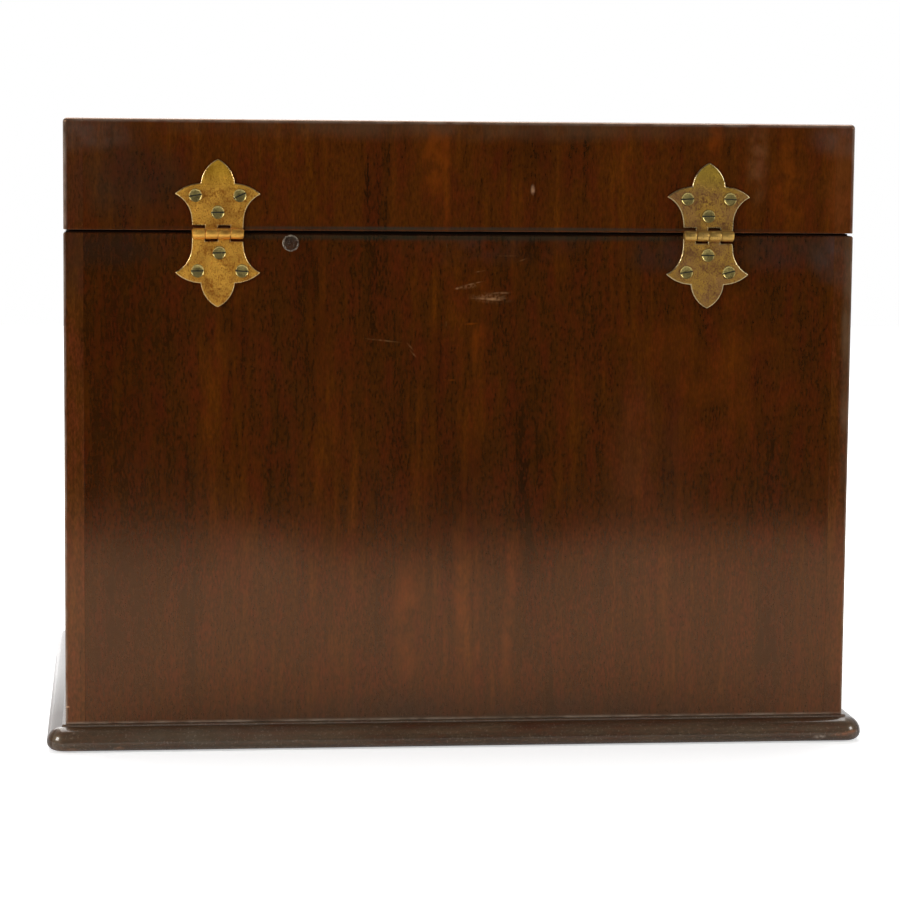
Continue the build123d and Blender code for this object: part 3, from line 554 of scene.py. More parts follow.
@dataclass(frozen=True)
class LacqueredMahogany:
    """Mahogany, stained and then rubbed down under old lacquer.

    It gives the eye fine short grain and soft figure in deep red-brown, with a clear shine over
    it that an amber tint keeps warm, and pale lines where the edges are worn. The flecks and the
    dust are drawn coarser than real pores and motes, so that they show.
    """

    grain: Grain = Grain.UP
    dark: str = "#231002"
    middle: str = "#3b1c03"
    light: str = "#5c2c04"
    red: str = "#481a06"
    seed: float = 0.0
    figure_mm: tuple[float, float] = (30.0, 260.0)
    streak_mm: tuple[float, float] = (3.6, 46.0)
    fleck_mm: tuple[float, float] = (0.8, 2.4)
    drift_mm: tuple[float, float] = (7.0, 24.0)
    wave_mm: tuple[float, float] = (34.0, 120.0)
    palm_mm: float = 71.43
    ior: float = 1.5
    roughness: float = 0.12
    specular: float = 0.85
    amber: str = "#ffc499"
    shell: Optional[Shell] = None
    worn: str = "#8f8072"
    wear_mm: float = 1.6
    wear_break_mm: float = 11.11
    marks: tuple[Mark, ...] = ()
    mark_plane: float = 0.146
    warp: Optional[Warp] = None
    dust: float = 0.0
    dust_mm: tuple[float, float] = (1.1, 1.1)
    dust_colour: str = "#b4a594"
    coat: float = 0.0
    coat_roughness: float = 0.06
    rubbed_coat: Optional[float] = None
    rubbed_specular: float = 0.3

    def build(self, name: str) -> bpy.types.Material:
        """Makes the material.

        Args:
            name: Its name.

        Returns:
            The material.
        """
        material, tree, shader = new_material(name)
        place = add(tree, "TexCoord").outputs["Object"]
        shifted = add(tree, "Mapping", {
            "Vector": place, "Location": (self.seed, self.seed, 0)}).outputs[0]
        fleck = self._pattern(tree, shifted, self.fleck_mm)
        layers = [(self._mark(tree, place, mark), mark.colour) for mark in self.marks]
        if self.shell:
            layers.append((self._edge_wear(tree, place, shifted), self.worn))
        if self.dust:
            specks = self._pattern(tree, shifted, self.dust_mm, detail=2.0)
            specks = add(tree, "MapRange", {0: specks, 1: 0.58, 2: 0.72, 4: self.dust}).outputs[0]
            layers.append((specks, self.dust_colour))
        connect(tree, shader, {
            "Base Color": layered(tree, self._wood(tree, shifted, fleck), layers),
            "Roughness": self._rubbing(tree, shifted),
            "Normal": self._bumps(tree, place, shifted, fleck),
            "IOR": self.ior,
            "Specular Tint": linear(self.amber),
            "Specular IOR Level": self._toward_back(tree, place, self.specular, self.rubbed_specular),
            "Coat Weight": self._toward_back(tree, place, self.coat, self.rubbed_coat),
            "Coat Roughness": self.coat_roughness,
        })
        return material

    def _wood(self, tree: Tree, place: Socket, fleck: Socket) -> Socket:
        """Colours the wood: broad figure, finer streaks, redder patches and short flecks.

        Args:
            tree: The node tree.
            place: Where a point lies in this board's own stretch of wood.
            fleck: The pattern of the flecks.

        Returns:
            The wood's colour.
        """
        broad = self._pattern(tree, place, self.figure_mm)
        streak = self._pattern(tree, place, self.streak_mm)
        both = add(tree, "Mix", {0: 0.45, 2: broad, 3: streak}).outputs[0]
        colour = add(tree, "ValToRGB", {0: both}, stops=[
            (0.32, self.dark), (0.48, self.middle), (0.53, self.middle), (0.74, self.light)]).outputs[0]
        drift = self._pattern(tree, place, self.drift_mm)
        drift = add(tree, "Mix", {0: 0.35, 2: drift, 3: fleck}).outputs[0]
        redder = add(tree, "MapRange", {0: drift, 1: 0.45, 2: 0.66, 3: 0.0, 4: 0.85}).outputs[0]
        colour = layered(tree, colour, [(redder, self.red)])
        short = add(tree, "MapRange", {0: fleck, 1: 0.3, 2: 0.7, 3: 0.66, 4: 1.35}).outputs[0]
        return add(tree, "Mix", {0: 1.0, 6: colour, 7: short}, data_type="RGBA",
                   blend_type="MULTIPLY").outputs[2]

    def _pattern(self, tree: Tree, place: Socket, size_mm: tuple[float, float],
                 detail: float = 3.0) -> Socket:
        """Draws a cloudy pattern along the grain.

        Args:
            tree: The node tree.
            place: Where a point lies.
            size_mm: Width of its marks across the grain and their length along it.
            detail: How finely its marks are broken up.

        Returns:
            The pattern, from 0 to 1.
        """
        mapped = add(tree, "Mapping", {"Vector": place, "Scale": self.grain.scales(*size_mm)}).outputs[0]
        return add(tree, "TexNoise", {"Vector": mapped, "Scale": 1.0, "Detail": detail}).outputs[0]

    def _edge_wear(self, tree: Tree, place: Socket, shifted: Socket) -> Socket:
        """Draws a broken line along the box's edges, where two of its faces are both near.

        Args:
            tree: The node tree.
            place: Where a point lies on the chest.
            shifted: Where it lies in this board's own stretch of wood.

        Returns:
            How worn each point is.
        """
        shell = self.shell
        spans = ((-shell.half_width, shell.half_width), (-shell.half_depth, shell.half_depth),
                 (shell.low, shell.high))
        parts = add(tree, "SeparateXYZ", {0: place}).outputs
        gaps = []
        for part, (low, high) in zip(parts, spans):
            middle, half = (low + high) / 2 * MM, (high - low) / 2 * MM
            offset = add(tree, "Math", {0: part, 1: middle}, operation="SUBTRACT").outputs[0]
            size = add(tree, "Math", {0: offset}, operation="ABSOLUTE").outputs[0]
            rest = add(tree, "Math", {0: half, 1: size}, operation="SUBTRACT").outputs[0]
            gaps.append(add(tree, "Math", {0: rest}, operation="ABSOLUTE").outputs[0])
        near = add(tree, "Math", {0: gaps[0], 1: gaps[1]}, operation="MINIMUM").outputs[0]
        far = add(tree, "Math", {0: gaps[0], 1: gaps[1]}, operation="MAXIMUM").outputs[0]
        far = add(tree, "Math", {0: far, 1: gaps[2]}, operation="MINIMUM").outputs[0]
        second = add(tree, "Math", {0: near, 1: far}, operation="MAXIMUM").outputs[0]
        line = add(tree, "MapRange", {0: second, 1: self.wear_mm * MM, 2: 0.0},
                   interpolation_type="SMOOTHSTEP").outputs[0]
        broken = add(tree, "TexNoise", {
            "Vector": shifted, "Scale": 1 / (self.wear_break_mm * MM), "Detail": 4.0}).outputs[0]
        broken = add(tree, "MapRange", {0: broken, 1: 0.32, 2: 0.62, 3: 0.15, 4: 0.85}).outputs[0]
        return add(tree, "Math", {0: line, 1: broken}, operation="MULTIPLY").outputs[0]

    def _mark(self, tree: Tree, place: Socket, mark: Mark) -> Socket:
        """Draws a soft line or spot, broken up by grit.

        Args:
            tree: The node tree.
            place: Where a point lies on the chest.
            mark: The mark.

        Returns:
            How much of the mark lies at each point.
        """
        mapped = add(tree, "Mapping", {
            "Vector": place, "Location": (mark.x * MM, self.mark_plane, mark.z * MM),
            "Rotation": (0, radians(mark.turn), 0),
            "Scale": (mark.length / 2 * MM, 0.05, mark.width / 2 * MM)},
            vector_type="TEXTURE").outputs[0]
        reach = add(tree, "VectorMath", {0: mapped}, operation="LENGTH").outputs["Value"]
        core = add(tree, "MapRange", {0: reach, 1: 1.0, 2: 0.15, 4: mark.strength},
                   interpolation_type="SMOOTHSTEP").outputs[0]
        broken = add(tree, "TexNoise", {
            "Vector": place, "Scale": 1 / (mark.grit_mm * MM), "Detail": 3.0}).outputs[0]
        broken = add(tree, "MapRange", {0: broken, 1: 0.38, 2: 0.62, 3: mark.least}).outputs[0]
        return add(tree, "Math", {0: core, 1: broken}, operation="MULTIPLY").outputs[0]

    def _rubbing(self, tree: Tree, place: Socket) -> Socket:
        """Varies the lacquer's roughness in palm-sized patches, as old rubbing leaves it.

        Args:
            tree: The node tree.
            place: Where a point lies in this board's own stretch of wood.

        Returns:
            The roughness.
        """
        patch = add(tree, "TexNoise", {
            "Vector": place, "Scale": 1 / (self.palm_mm * MM), "Detail": 3.0}).outputs[0]
        return add(tree, "MapRange", {
            0: patch, 1: 0.3, 2: 0.7, 3: self.roughness - 0.02, 4: self.roughness + 0.04}).outputs[0]

    def _bumps(self, tree: Tree, place: Socket, shifted: Socket, fleck: Socket) -> Socket:
        """Shapes the surface: the lean of an old board, rubbed waves and a trace of the grain.

        Args:
            tree: The node tree.
            place: Where a point lies on the chest.
            shifted: Where it lies in this board's own stretch of wood.
            fleck: The pattern of the flecks.

        Returns:
            The surface's normal.
        """
        waves = self._pattern(tree, shifted, self.wave_mm, detail=1.0)
        slow = add(tree, "Bump", {"Height": waves, "Strength": 1.0, "Distance": 0.1 * MM})
        if self.warp:
            tree.links.new(self._lean(tree, place, self.warp), slow.inputs["Normal"])
        return add(tree, "Bump", {"Height": fleck, "Strength": 0.4, "Distance": 0.04 * MM,
                                  "Normal": slow.outputs[0]}).outputs[0]

    def _lean(self, tree: Tree, place: Socket, warp: Warp) -> Socket:
        """Tilts the face of a warped board.

        Args:
            tree: The node tree.
            place: Where a point lies on the chest.
            warp: The lean and where it is.

        Returns:
            The tilted normal.
        """
        parts = add(tree, "SeparateXYZ", {0: place}).outputs
        aside = add(tree, "Math", {0: parts[0], 1: warp.x * MM}, operation="SUBTRACT").outputs[0]
        aside = add(tree, "Math", {0: aside}, operation="ABSOLUTE").outputs[0]
        lean = add(tree, "MapRange", {
            0: aside, 1: warp.near * MM, 2: warp.far * MM, 3: -warp.lean, 4: 0.0},
            interpolation_type="SMOOTHSTEP").outputs[0]
        height = add(tree, "Math", {0: lean, 1: parts[2]}, operation="MULTIPLY").outputs[0]
        return add(tree, "Bump", {"Height": height, "Strength": 1.0, "Distance": 1.0}).outputs[0]

    def _toward_back(self, tree: Tree, place: Socket, whole: float, rubbed: float) -> float | Socket:
        """Thins the shine toward the chest's back corners where they are rubbed.

        Args:
            tree: The node tree.
            place: Where a point lies on the chest.
            whole: The amount where nothing is rubbed.
            rubbed: The amount at the back.

        Returns:
            The amount, as one value or as a socket where it changes.
        """
        if self.rubbed_coat is None:
            return whole
        depth = add(tree, "SeparateXYZ", {0: place}).outputs[1]
        return add(tree, "MapRange", {0: depth, 1: -0.02, 2: 0.11, 3: whole, 4: rubbed}).outputs[0]


def new_material(name: str) -> tuple[bpy.types.Material, Tree, bpy.types.Node]:
    """Makes an empty material.

    Args:
        name: The material's name.

    Returns:
        The material, its node tree and its main shader.
    """
    material = bpy.data.materials.new(name)
    material.use_nodes = True
    tree = material.node_tree
    shader = next(node for node in tree.nodes if node.type == "BSDF_PRINCIPLED")
    return material, tree, shader


@dataclass(frozen=True)
class PlanedWood:
    """Cedar, planed and left unpolished: open grain that doesn't shine. Made near-black, it is also the
    painted shade on the meeting edges.

    The pores are drawn coarser than real ones, so that they show.
    """

    grain: Grain
    dark: str = "#6e4526"
    light: str = "#a87a4c"
    gloss: float = 0.5
    figure_mm: tuple[float, float] = (9.0, 190.0)
    pore_mm: tuple[float, float] = (0.9, 14.0)

    def build(self, name: str) -> bpy.types.Material:
        """Makes the material.

        Args:
            name: Its name.

        Returns:
            The material.
        """
        material, tree, shader = new_material(name)
        place = add(tree, "TexCoord").outputs["Object"]
        figure, pores = [
            add(tree, "TexNoise", {"Vector": add(tree, "Mapping", {
                "Vector": place, "Scale": self.grain.scales(*size)}).outputs[0],
                "Scale": 1.0, "Detail": 4.0}).outputs[0]
            for size in (self.figure_mm, self.pore_mm)]
        both = add(tree, "Mix", {0: 0.4, 2: figure, 3: pores}).outputs[0]
        colour = add(tree, "ValToRGB", {0: both}, stops=[
            (0.36, self.dark), (0.62, self.light)]).outputs[0]
        connect(tree, shader, {
            "Base Color": colour,
            "Normal": add(tree, "Bump", {
                "Height": pores, "Strength": 0.3, "Distance": 0.1 * MM}).outputs[0],
            "Roughness": 0.62,
            "Specular IOR Level": self.gloss,
        })
        return material


@dataclass(frozen=True)
class NappedCloth:
    """Cotton flannel or wool felt, woven or pressed and then brushed.

    It gives the eye a dense dull nap with cloudy brushed patches, which catches light at its
    edges. The nap is drawn coarser than real threads, so that it shows.
    """

    dark: str
    light: str
    nap: str
    thread_mm: float = 0.9
    brushed_mm: float = 38
    sheen: float = 0.45
    bump_mm: float = 0.25

    def build(self, name: str) -> bpy.types.Material:
        """Makes the material.

        Args:
            name: Its name.

        Returns:
            The material.
        """
        material, tree, shader = new_material(name)
        place = add(tree, "TexCoord").outputs["Object"]
        nap = add(tree, "TexNoise", {
            "Vector": place, "Scale": 1 / (self.thread_mm * MM), "Detail": 4.0,
            "Roughness": 0.7}).outputs[0]
        brushed = add(tree, "TexNoise", {
            "Vector": place, "Scale": 1 / (self.brushed_mm * MM), "Detail": 3.0}).outputs[0]
        both = add(tree, "Mix", {0: 0.45, 2: nap, 3: brushed}).outputs[0]
        colour = add(tree, "ValToRGB", {0: both}, stops=[
            (0.36, self.dark), (0.64, self.light)]).outputs[0]
        connect(tree, shader, {
            "Base Color": colour,
            "Normal": add(tree, "Bump", {
                "Height": nap, "Strength": 0.6, "Distance": self.bump_mm * MM}).outputs[0],
            "Roughness": 0.95,
            "Specular IOR Level": 0.2,
            "Sheen Weight": self.sheen,
            "Sheen Roughness": 0.4,
            "Sheen Tint": linear(self.nap),
        })
        return material


@dataclass(frozen=True)
class TarnishedBrass:
    """Brass or steel, stamped, cast or turned, and left to tarnish.

    It gives the eye a bright metal ground with darker blotches and dark specks, smooth enough to
    mirror the room softly. The specks are drawn coarser than real grit, so that they show.
    """

    gold: str
    copper: str
    tarnish: str
    speck: str
    blotch_mm: float = 7.0
    patch_ratio: float = 2.3
    grit_mm: float = 0.8
    roughness: float = 0.42
    tarnish_amount: float = 0.35
    tip: str = ""
    # the colour of a painted highlight along the knuckles, round the pin's height below
    joint: str = ""
    joint_mm: float = 265.0

    def build(self, name: str) -> bpy.types.Material:
        """Makes the material.

        Args:
            name: Its name.

        Returns:
            The material.
        """
        material, tree, shader = new_material(name)
        place = add(tree, "TexCoord").outputs["Object"]
        drawn = add(tree, "Mapping", {"Vector": place, "Scale": (1.0, 1.0, 0.65)}).outputs[0]
        blotch, patch, grit = [
            add(tree, "TexNoise", {
                "Vector": where, "Scale": 1 / (size * MM), "Detail": detail,
                "Roughness": 0.6}).outputs[0]
            for where, size, detail in (
                (place, self.blotch_mm, 4.0), (place, self.blotch_mm * self.patch_ratio, 3.0),
                (drawn, self.grit_mm, 3.0))]
        both = add(tree, "Mix", {0: 0.6, 2: blotch, 3: grit}).outputs[0]
        ground = add(tree, "ValToRGB", {0: both}, stops=[
            (0.40, self.copper), (0.54, self.gold), (0.66, self.copper)]).outputs[0]
        dulled = add(tree, "MapRange", {
            0: patch, 1: 0.42, 2: 0.66, 3: 0.0, 4: self.tarnish_amount}).outputs[0]
        specks = add(tree, "MapRange", {0: grit, 1: 0.6, 2: 0.74, 3: 0.0, 4: 0.6}).outputs[0]
        layers = [(dulled, self.tarnish), *self._bright_tip_and_knuckle_highlight(tree, place), (specks, self.speck)]
        rough = add(tree, "MapRange", {
            0: both, 1: 0.35, 2: 0.65, 3: self.roughness - 0.08, 4: self.roughness + 0.14}).outputs[0]
        connect(tree, shader, {
            "Base Color": layered(tree, ground, layers),
            "Roughness": rough,
            "Normal": add(tree, "Bump", {
                "Height": grit, "Strength": 0.35, "Distance": 0.12 * MM}).outputs[0],
            "Metallic": 1.0,
        })
        return material

    def _bright_tip_and_knuckle_highlight(self, tree: Tree, place: Socket) -> list[tuple[Socket, str]]:
        """Brightens a hinge's upper tip, where hands rub it, and paints a highlight along its knuckles.

        Args:
            tree: The node tree.
            place: Where a point lies on the chest.

        Returns:
            The bright tip and the painted knuckle highlight, or none on what isn't a hinge.
        """
        if not self.tip:
            return []
        height = add(tree, "SeparateXYZ", {0: place}).outputs[2]
        tip = add(tree, "MapRange", {0: height, 1: 0.286, 2: 0.296, 4: 0.6}).outputs[0]
        gap = add(tree, "Math", {0: height, 1: self.joint_mm * MM}, operation="SUBTRACT").outputs[0]
        gap = add(tree, "Math", {0: gap}, operation="ABSOLUTE").outputs[0]
        # a painted highlight along the knuckles
        knuckles = add(tree, "MapRange", {0: gap, 1: 3.4 * MM, 2: 2.4 * MM, 4: 0.5}).outputs[0]
        return [(tip, self.tip), (knuckles, self.joint)]


@dataclass(frozen=True)
class ClearVinyl:
    """Soft vinyl, moulded clear: see-through, milky edge-on, with a crust of old dust."""

    tint: str = "#d2c4ae"
    ior: float = 1.46
    cloud_mm: float = 3.333
    crust_mm: float = 3.846

    def build(self, name: str) -> bpy.types.Material:
        """Makes the material.

        Args:
            name: Its name.

        Returns:
            The material.
        """
        material, tree, shader = new_material(name)
        place = add(tree, "TexCoord").outputs["Object"]
        cloud, crust = [
            add(tree, "TexNoise", {
                "Vector": place, "Scale": 1 / (size * MM), "Detail": detail}).outputs[0]
            for size, detail in ((self.cloud_mm, 2.0), (self.crust_mm, 3.0))]
        edge_on = add(tree, "LayerWeight", {"Blend": 0.45}).outputs["Facing"]
        milky = add(tree, "MapRange", {0: edge_on, 1: 0.1, 2: 0.85, 3: 0.05, 4: 0.8}).outputs[0]
        crust = add(tree, "MapRange", {0: crust, 1: 0.35, 2: 0.6, 3: 0.3}).outputs[0]
        connect(tree, shader, {
            "Base Color": linear(self.tint),
            "Roughness": add(tree, "MapRange", {0: cloud, 1: 0.3, 2: 0.7, 3: 0.06, 4: 0.16}).outputs[0],
            "Alpha": add(tree, "Math", {0: milky, 1: crust}, operation="MULTIPLY").outputs[0],
            "IOR": self.ior,
        })
        return material


@dataclass(frozen=True)
class OldWax:
    """Polish and dirt packed in a slot: nearly black, dull and crumbly."""

    dark: str = "#1c180e"
    light: str = "#4a4228"
    crumb_mm: float = 0.5

    def build(self, name: str) -> bpy.types.Material:
        """Makes the material.

        Args:
            name: Its name.

        Returns:
            The material.
        """
        material, tree, shader = new_material(name)
        place = add(tree, "TexCoord").outputs["Object"]
        crumb = add(tree, "TexNoise", {
            "Vector": place, "Scale": 1 / (self.crumb_mm * MM), "Detail": 3.0}).outputs[0]
        colour = add(tree, "ValToRGB", {0: crumb}, stops=[
            (0.4, self.dark), (0.68, self.light)]).outputs[0]
        connect(tree, shader, {"Base Color": colour, "Roughness": 0.85})
        return material


# ---------------------------------------------------------------- finishes
class Finish(Enum):
    """The finishes of the chest, each named for its real material and its place."""

    BODY = "lacquered_mahogany_body"
    BODY_EDGE = "lacquered_mahogany_board_edges"
    LID = "lacquered_mahogany_lid"
    LID_EDGE = "lacquered_mahogany_lid_edges"
    LID_TOP = "lacquered_mahogany_lid_top"
    FRONT = "lacquered_mahogany_drawer_fronts"
    BASE = "lacquered_mahogany_base_moulding"
    BASE_SIDE = "lacquered_mahogany_base_moulding_sides"
    # painted shade: near-black wood where body and lid meet
    BARE = "bare_mahogany_meeting_edges"
    INSIDE = "planed_cedar_inside_boards"
    DRAWER_SIDE = "planed_cedar_drawer_sides"
    DRAWER_BACK = "planed_cedar_drawer_backs"
    CLOTH = "brown_silver_cloth_flannel"
    FELT = "green_baize_felt"
    GOLD_HINGE = "stamped_brass_hinge_gold"
    BROWN_HINGE = "stamped_brass_hinge_browned"
    GOLD_RIM = "cut_brass_rim_gold"
    BROWN_RIM = "cut_brass_rim_browned"
    SCREW = "dulled_brass_screws"
    GRIME = "dark_wax_in_screw_slots"
    PULL = "cast_brass_pulls"
    STAY = "rolled_brass_stay"
    STEEL = "zinc_plated_steel_screws"
    VINYL = "clear_vinyl_bumper"


# Each shell runs past the parting line, so that only the box's outer edges are worn.
BODY_SHELL = Shell(half_width=203.0, half_depth=146.0, low=13.8, high=300.0)
LID_SHELL = Shell(half_width=203.0, half_depth=146.0, low=230.0, high=322.6)
BACK_WARP = Warp(x=12.0, near=46.0, far=95.0, lean=0.0075)
STAINED, GINGER, DUST, DARKENED = "#868078", "#7a3808", "#5c514c", "#241a12"
BACK_MARKS = (
    # bands of the figure
    Mark(177.0, 140.0, 90.0, 420.0, 0.0, 0.55, STAINED, 40.0, 0.6),
    Mark(184.0, 257.0, 100.0, 28.0, 0.0, 0.65, DARKENED, 12.0, 0.5),
    Mark(116.0, 205.0, 26.0, 150.0, 0.0, 0.35, STAINED, 30.0, 0.5),
    Mark(77.0, 218.0, 20.0, 150.0, 2.0, 0.5, STAINED, 30.0, 0.5),
    Mark(30.0, 165.0, 16.0, 120.0, -2.0, 0.32, STAINED, 30.0),
    Mark(14.0, 190.0, 12.0, 100.0, 0.0, 0.35, STAINED, 30.0, 0.5),
    Mark(6.0, 125.0, 36.0, 110.0, 0.0, 0.5, STAINED, 30.0, 0.6),
    Mark(-7.5, 140.0, 18.0, 100.0, 0.0, 0.35, STAINED, 30.0, 0.5),
    Mark(-7.0, 230.0, 16.0, 70.0, 0.0, 0.35, GINGER, 14.0),
    Mark(-26.0, 175.0, 14.0, 110.0, 3.0, 0.2, STAINED, 30.0),
    Mark(-90.0, 152.0, 36.0, 120.0, 0.0, 0.12, "#8a4a2c", 14.0, 0.4),
    Mark(-110.0, 165.0, 20.0, 130.0, 0.0, 0.35, "#2c140c", 30.0, 0.4),
    Mark(-157.0, 200.0, 16.0, 110.0, 2.0, 0.2, STAINED, 30.0),
    Mark(-130.0, 200.0, 130.0, 140.0, 0.0, 0.2, GINGER, 24.0),
    Mark(-172.0, 60.0, 44.0, 130.0, 0.0, 0.35, STAINED, 30.0, 0.5),
    Mark(-6.0, 208.0, 6.0, 30.0, 0.0, 0.3, GINGER, 9.0),
    Mark(1.0, 80.0, 9.0, 130.0, 3.0, 0.35, GINGER, 9.0),
    Mark(-9.0, 60.0, 6.0, 100.0, 0.0, 0.3, GINGER, 9.0),
    Mark(-25.0, 66.0, 9.0, 110.0, -3.0, 0.35, GINGER, 9.0),
    Mark(27.0, 66.0, 24.0, 90.0, 0.0, 0.42, GINGER, 14.0),
    Mark(-28.0, 102.0, 12.0, 44.0, 0.0, 0.3, GINGER, 12.0),
    # a haze of dust under the lid, with darker and greyer patches just below it
    Mark(-20.0, 263.0, 130.0, 34.0, 4.0, 0.08, DUST, 9.0),
    Mark(-34.0, 258.0, 80.0, 22.0, 0.0, 0.35, STAINED, 14.0, 0.5),
    Mark(-165.0, 257.0, 70.0, 28.0, 0.0, 0.4, "#262b27", 14.0, 0.5),
    Mark(-105.0, 255.0, 60.0, 28.0, 0.0, 0.35, "#222824", 12.0, 0.5),
    Mark(-194.0, 256.0, 36.0, 40.0, 0.0, 0.4, "#4a4844", 9.0, 0.5),
    # painted shadow along the parting line, darkest in the gap itself
    Mark(0.0, 263.4, 430.0, 5.0, 0.0, 0.8, "#20261c", 20.0, 0.7),
    Mark(0.0, 265.1, 430.0, 2.6, 0.0, 1.0, "#080503", 20.0, 0.8),
    # painted shade and dirt at the back's foot, where it meets the moulding
    Mark(0.0, 12.0, 430.0, 48.0, 0.0, 0.75, "#241f1a", 20.0, 0.5),
    Mark(0.0, 13.8, 430.0, 6.0, 0.0, 0.8, "#2e2a22", 20.0, 0.6),
    # scratches and bruises
    Mark(2.5, 237.7, 5.4, 1.6, 13.0, 1.0),
    Mark(-5.4, 240.1, 14.8, 0.9, 13.0, 0.5),
    Mark(-12.2, 232.1, 21.0, 1.4, -3.0, 0.7),
    Mark(-15.7, 232.0, 7.5, 2.4, -3.0, 1.0),
    Mark(-14.0, 232.6, 27.0, 7.0, -3.0, 0.4, grit_mm=1.3, least=0.0),
    Mark(-3.0, 238.6, 14.0, 3.6, 8.0, 0.35, grit_mm=1.3, least=0.0),
    Mark(-19.4, 235.2, 12.5, 1.6, 2.0, 0.7),
    Mark(-8.2, 246.2, 7.6, 1.0, 10.0, 0.35),
    Mark(-21.9, 254.2, 16.0, 1.0, 0.0, 0.2),
    Mark(-30.4, 252.2, 6.5, 1.0, 19.0, 0.3),
    Mark(-4.1, 219.4, 12.0, 1.6, 5.0, 0.5, GINGER),
    Mark(6.7, 190.5, 11.5, 1.2, 0.0, 0.45, GINGER),
    Mark(8.9, 258.1, 1.0, 7.4, 0.0, 0.35),
    Mark(8.9, 219.3, 1.0, 3.6, 0.0, 0.35),
    Mark(41.5, 210.8, 23.6, 1.0, -6.0, 0.5),
    Mark(27.1, 207.5, 7.4, 1.0, -48.0, 0.5),
    Mark(25.8, 204.1, 6.8, 1.0, -48.0, 0.45),
    Mark(159.7, 205.8, 2.2, 2.2, 0.0, 1.0, "#120703"),
)
EDGE_MARKS = (
    # a darkened corner at the top of the +X board, and painted shadow along the parting line
    Mark(198.0, 252.0, 24.0, 60.0, 0.0, 0.6, DARKENED, 12.0, 0.6),
    Mark(0.0, 263.4, 430.0, 5.0, 0.0, 0.8, "#20261c", 20.0, 0.7),
    Mark(0.0, 265.1, 430.0, 2.6, 0.0, 1.0, "#080503", 20.0, 0.8),
    # the -X board: a paler rubbed strip, darker low down, and dust at the top
    Mark(-201.0, 210.0, 9.0, 230.0, 0.0, 0.6, "#6a543e", 20.0, 0.4),
    Mark(-194.0, 60.0, 16.0, 150.0, 0.0, 0.5, STAINED, 20.0, 0.5),
    Mark(-197.0, 22.0, 30.0, 50.0, 0.0, 0.6, STAINED, 20.0, 0.6),
    Mark(-197.0, 254.0, 30.0, 44.0, 0.0, 0.3, "#42423c", 9.0, 0.5),
    # painted shade and dirt above the moulding, and one chip that shows pale wood
    Mark(0.0, 13.8, 430.0, 14.0, 0.0, 0.7, "#2e2a22", 20.0, 0.6),
    Mark(202.6, 22.7, 4.6, 1.6, 0.0, 1.0, "#c99a76"),
)
LID_MARKS = (
    # painted shadow along the parting line, and dusty rubbed lacquer along the top and its corners
    Mark(0.0, 267.9, 430.0, 2.8, 0.0, 0.85, "#2e2e26", 20.0, 0.7),
    Mark(0.0, 320.5, 430.0, 22.0, 0.0, 0.4, "#5a4632", 14.0, 0.4),
    Mark(190.0, 315.0, 70.0, 26.0, 0.0, 0.3, "#5c544a", 9.0, 0.4),
    Mark(-198.0, 315.0, 50.0, 26.0, 0.0, 0.28, "#605850", 9.0, 0.4),
    # bands of the figure
    Mark(165.0, 286.0, 90.0, 100.0, 0.0, 0.5, STAINED, 30.0, 0.5),
    Mark(172.0, 290.0, 90.0, 60.0, 0.0, 0.25, "#283028", 20.0, 0.5),
    Mark(76.0, 285.0, 22.0, 90.0, 0.0, 0.4, STAINED, 20.0, 0.5),
    Mark(15.0, 304.0, 20.0, 56.0, 0.0, 0.5, GINGER, 9.0),
    Mark(9.0, 294.0, 5.0, 110.0, 0.0, 0.4, GINGER, 12.0),
    Mark(-129.0, 300.0, 15.0, 80.0, 0.0, 0.5, GINGER, 9.0),
    Mark(-152.0, 304.0, 16.0, 60.0, 0.0, 0.4, "#7c5030", 9.0),
    Mark(-169.0, 292.0, 30.0, 90.0, 0.0, 0.35, GINGER, 9.0),
    Mark(-197.0, 287.0, 26.0, 110.0, 0.0, 0.3, "#8a4a1c", 12.0, 0.4),
    Mark(-32.0, 300.0, 50.0, 70.0, 0.0, 0.4, STAINED, 30.0),
    # one pale spot where the lacquer is knocked off
    Mark(-35.1, 288.1, 2.8, 7.2, 0.0, 1.0, "#b38664", 6.0),
)
BASE_MARKS = (
    # chips and rubbed stretches that show paler wood along the lower edge and its corners
    Mark(176.0, 2.4, 7.0, 3.4, 0.0, 1.0, "#9a6a48"),
    Mark(-189.0, 3.6, 9.0, 3.2, 0.0, 1.0, "#a89888"),
    Mark(-203.0, 5.4, 18.0, 3.4, 8.0, 0.9, "#9c5a34"),
    Mark(201.0, 1.6, 26.0, 4.0, 0.0, 0.8, "#95643c", 4.0),
    Mark(-150.0, 1.4, 90.0, 3.2, 0.0, 0.5, "#7c6248", 6.0),
    Mark(110.0, 1.4, 120.0, 3.2, 0.0, 0.5, "#7c6248", 6.0),
    # a painted shade line above the widest part and a paler painted band on the bead's upper slope,
    # standing in for the bead's reflection, and dust on the slope
    Mark(0.0, 5.6, 430.0, 2.6, 0.0, 0.4, "#1c0e06", 20.0, 0.6),
    Mark(130.0, 8.0, 190.0, 14.0, 0.0, 0.35, "#625a4e", 9.0, 0.5),
    Mark(0.0, 9.2, 430.0, 3.0, 0.0, 0.3, "#6a4a34", 20.0, 0.5),
)


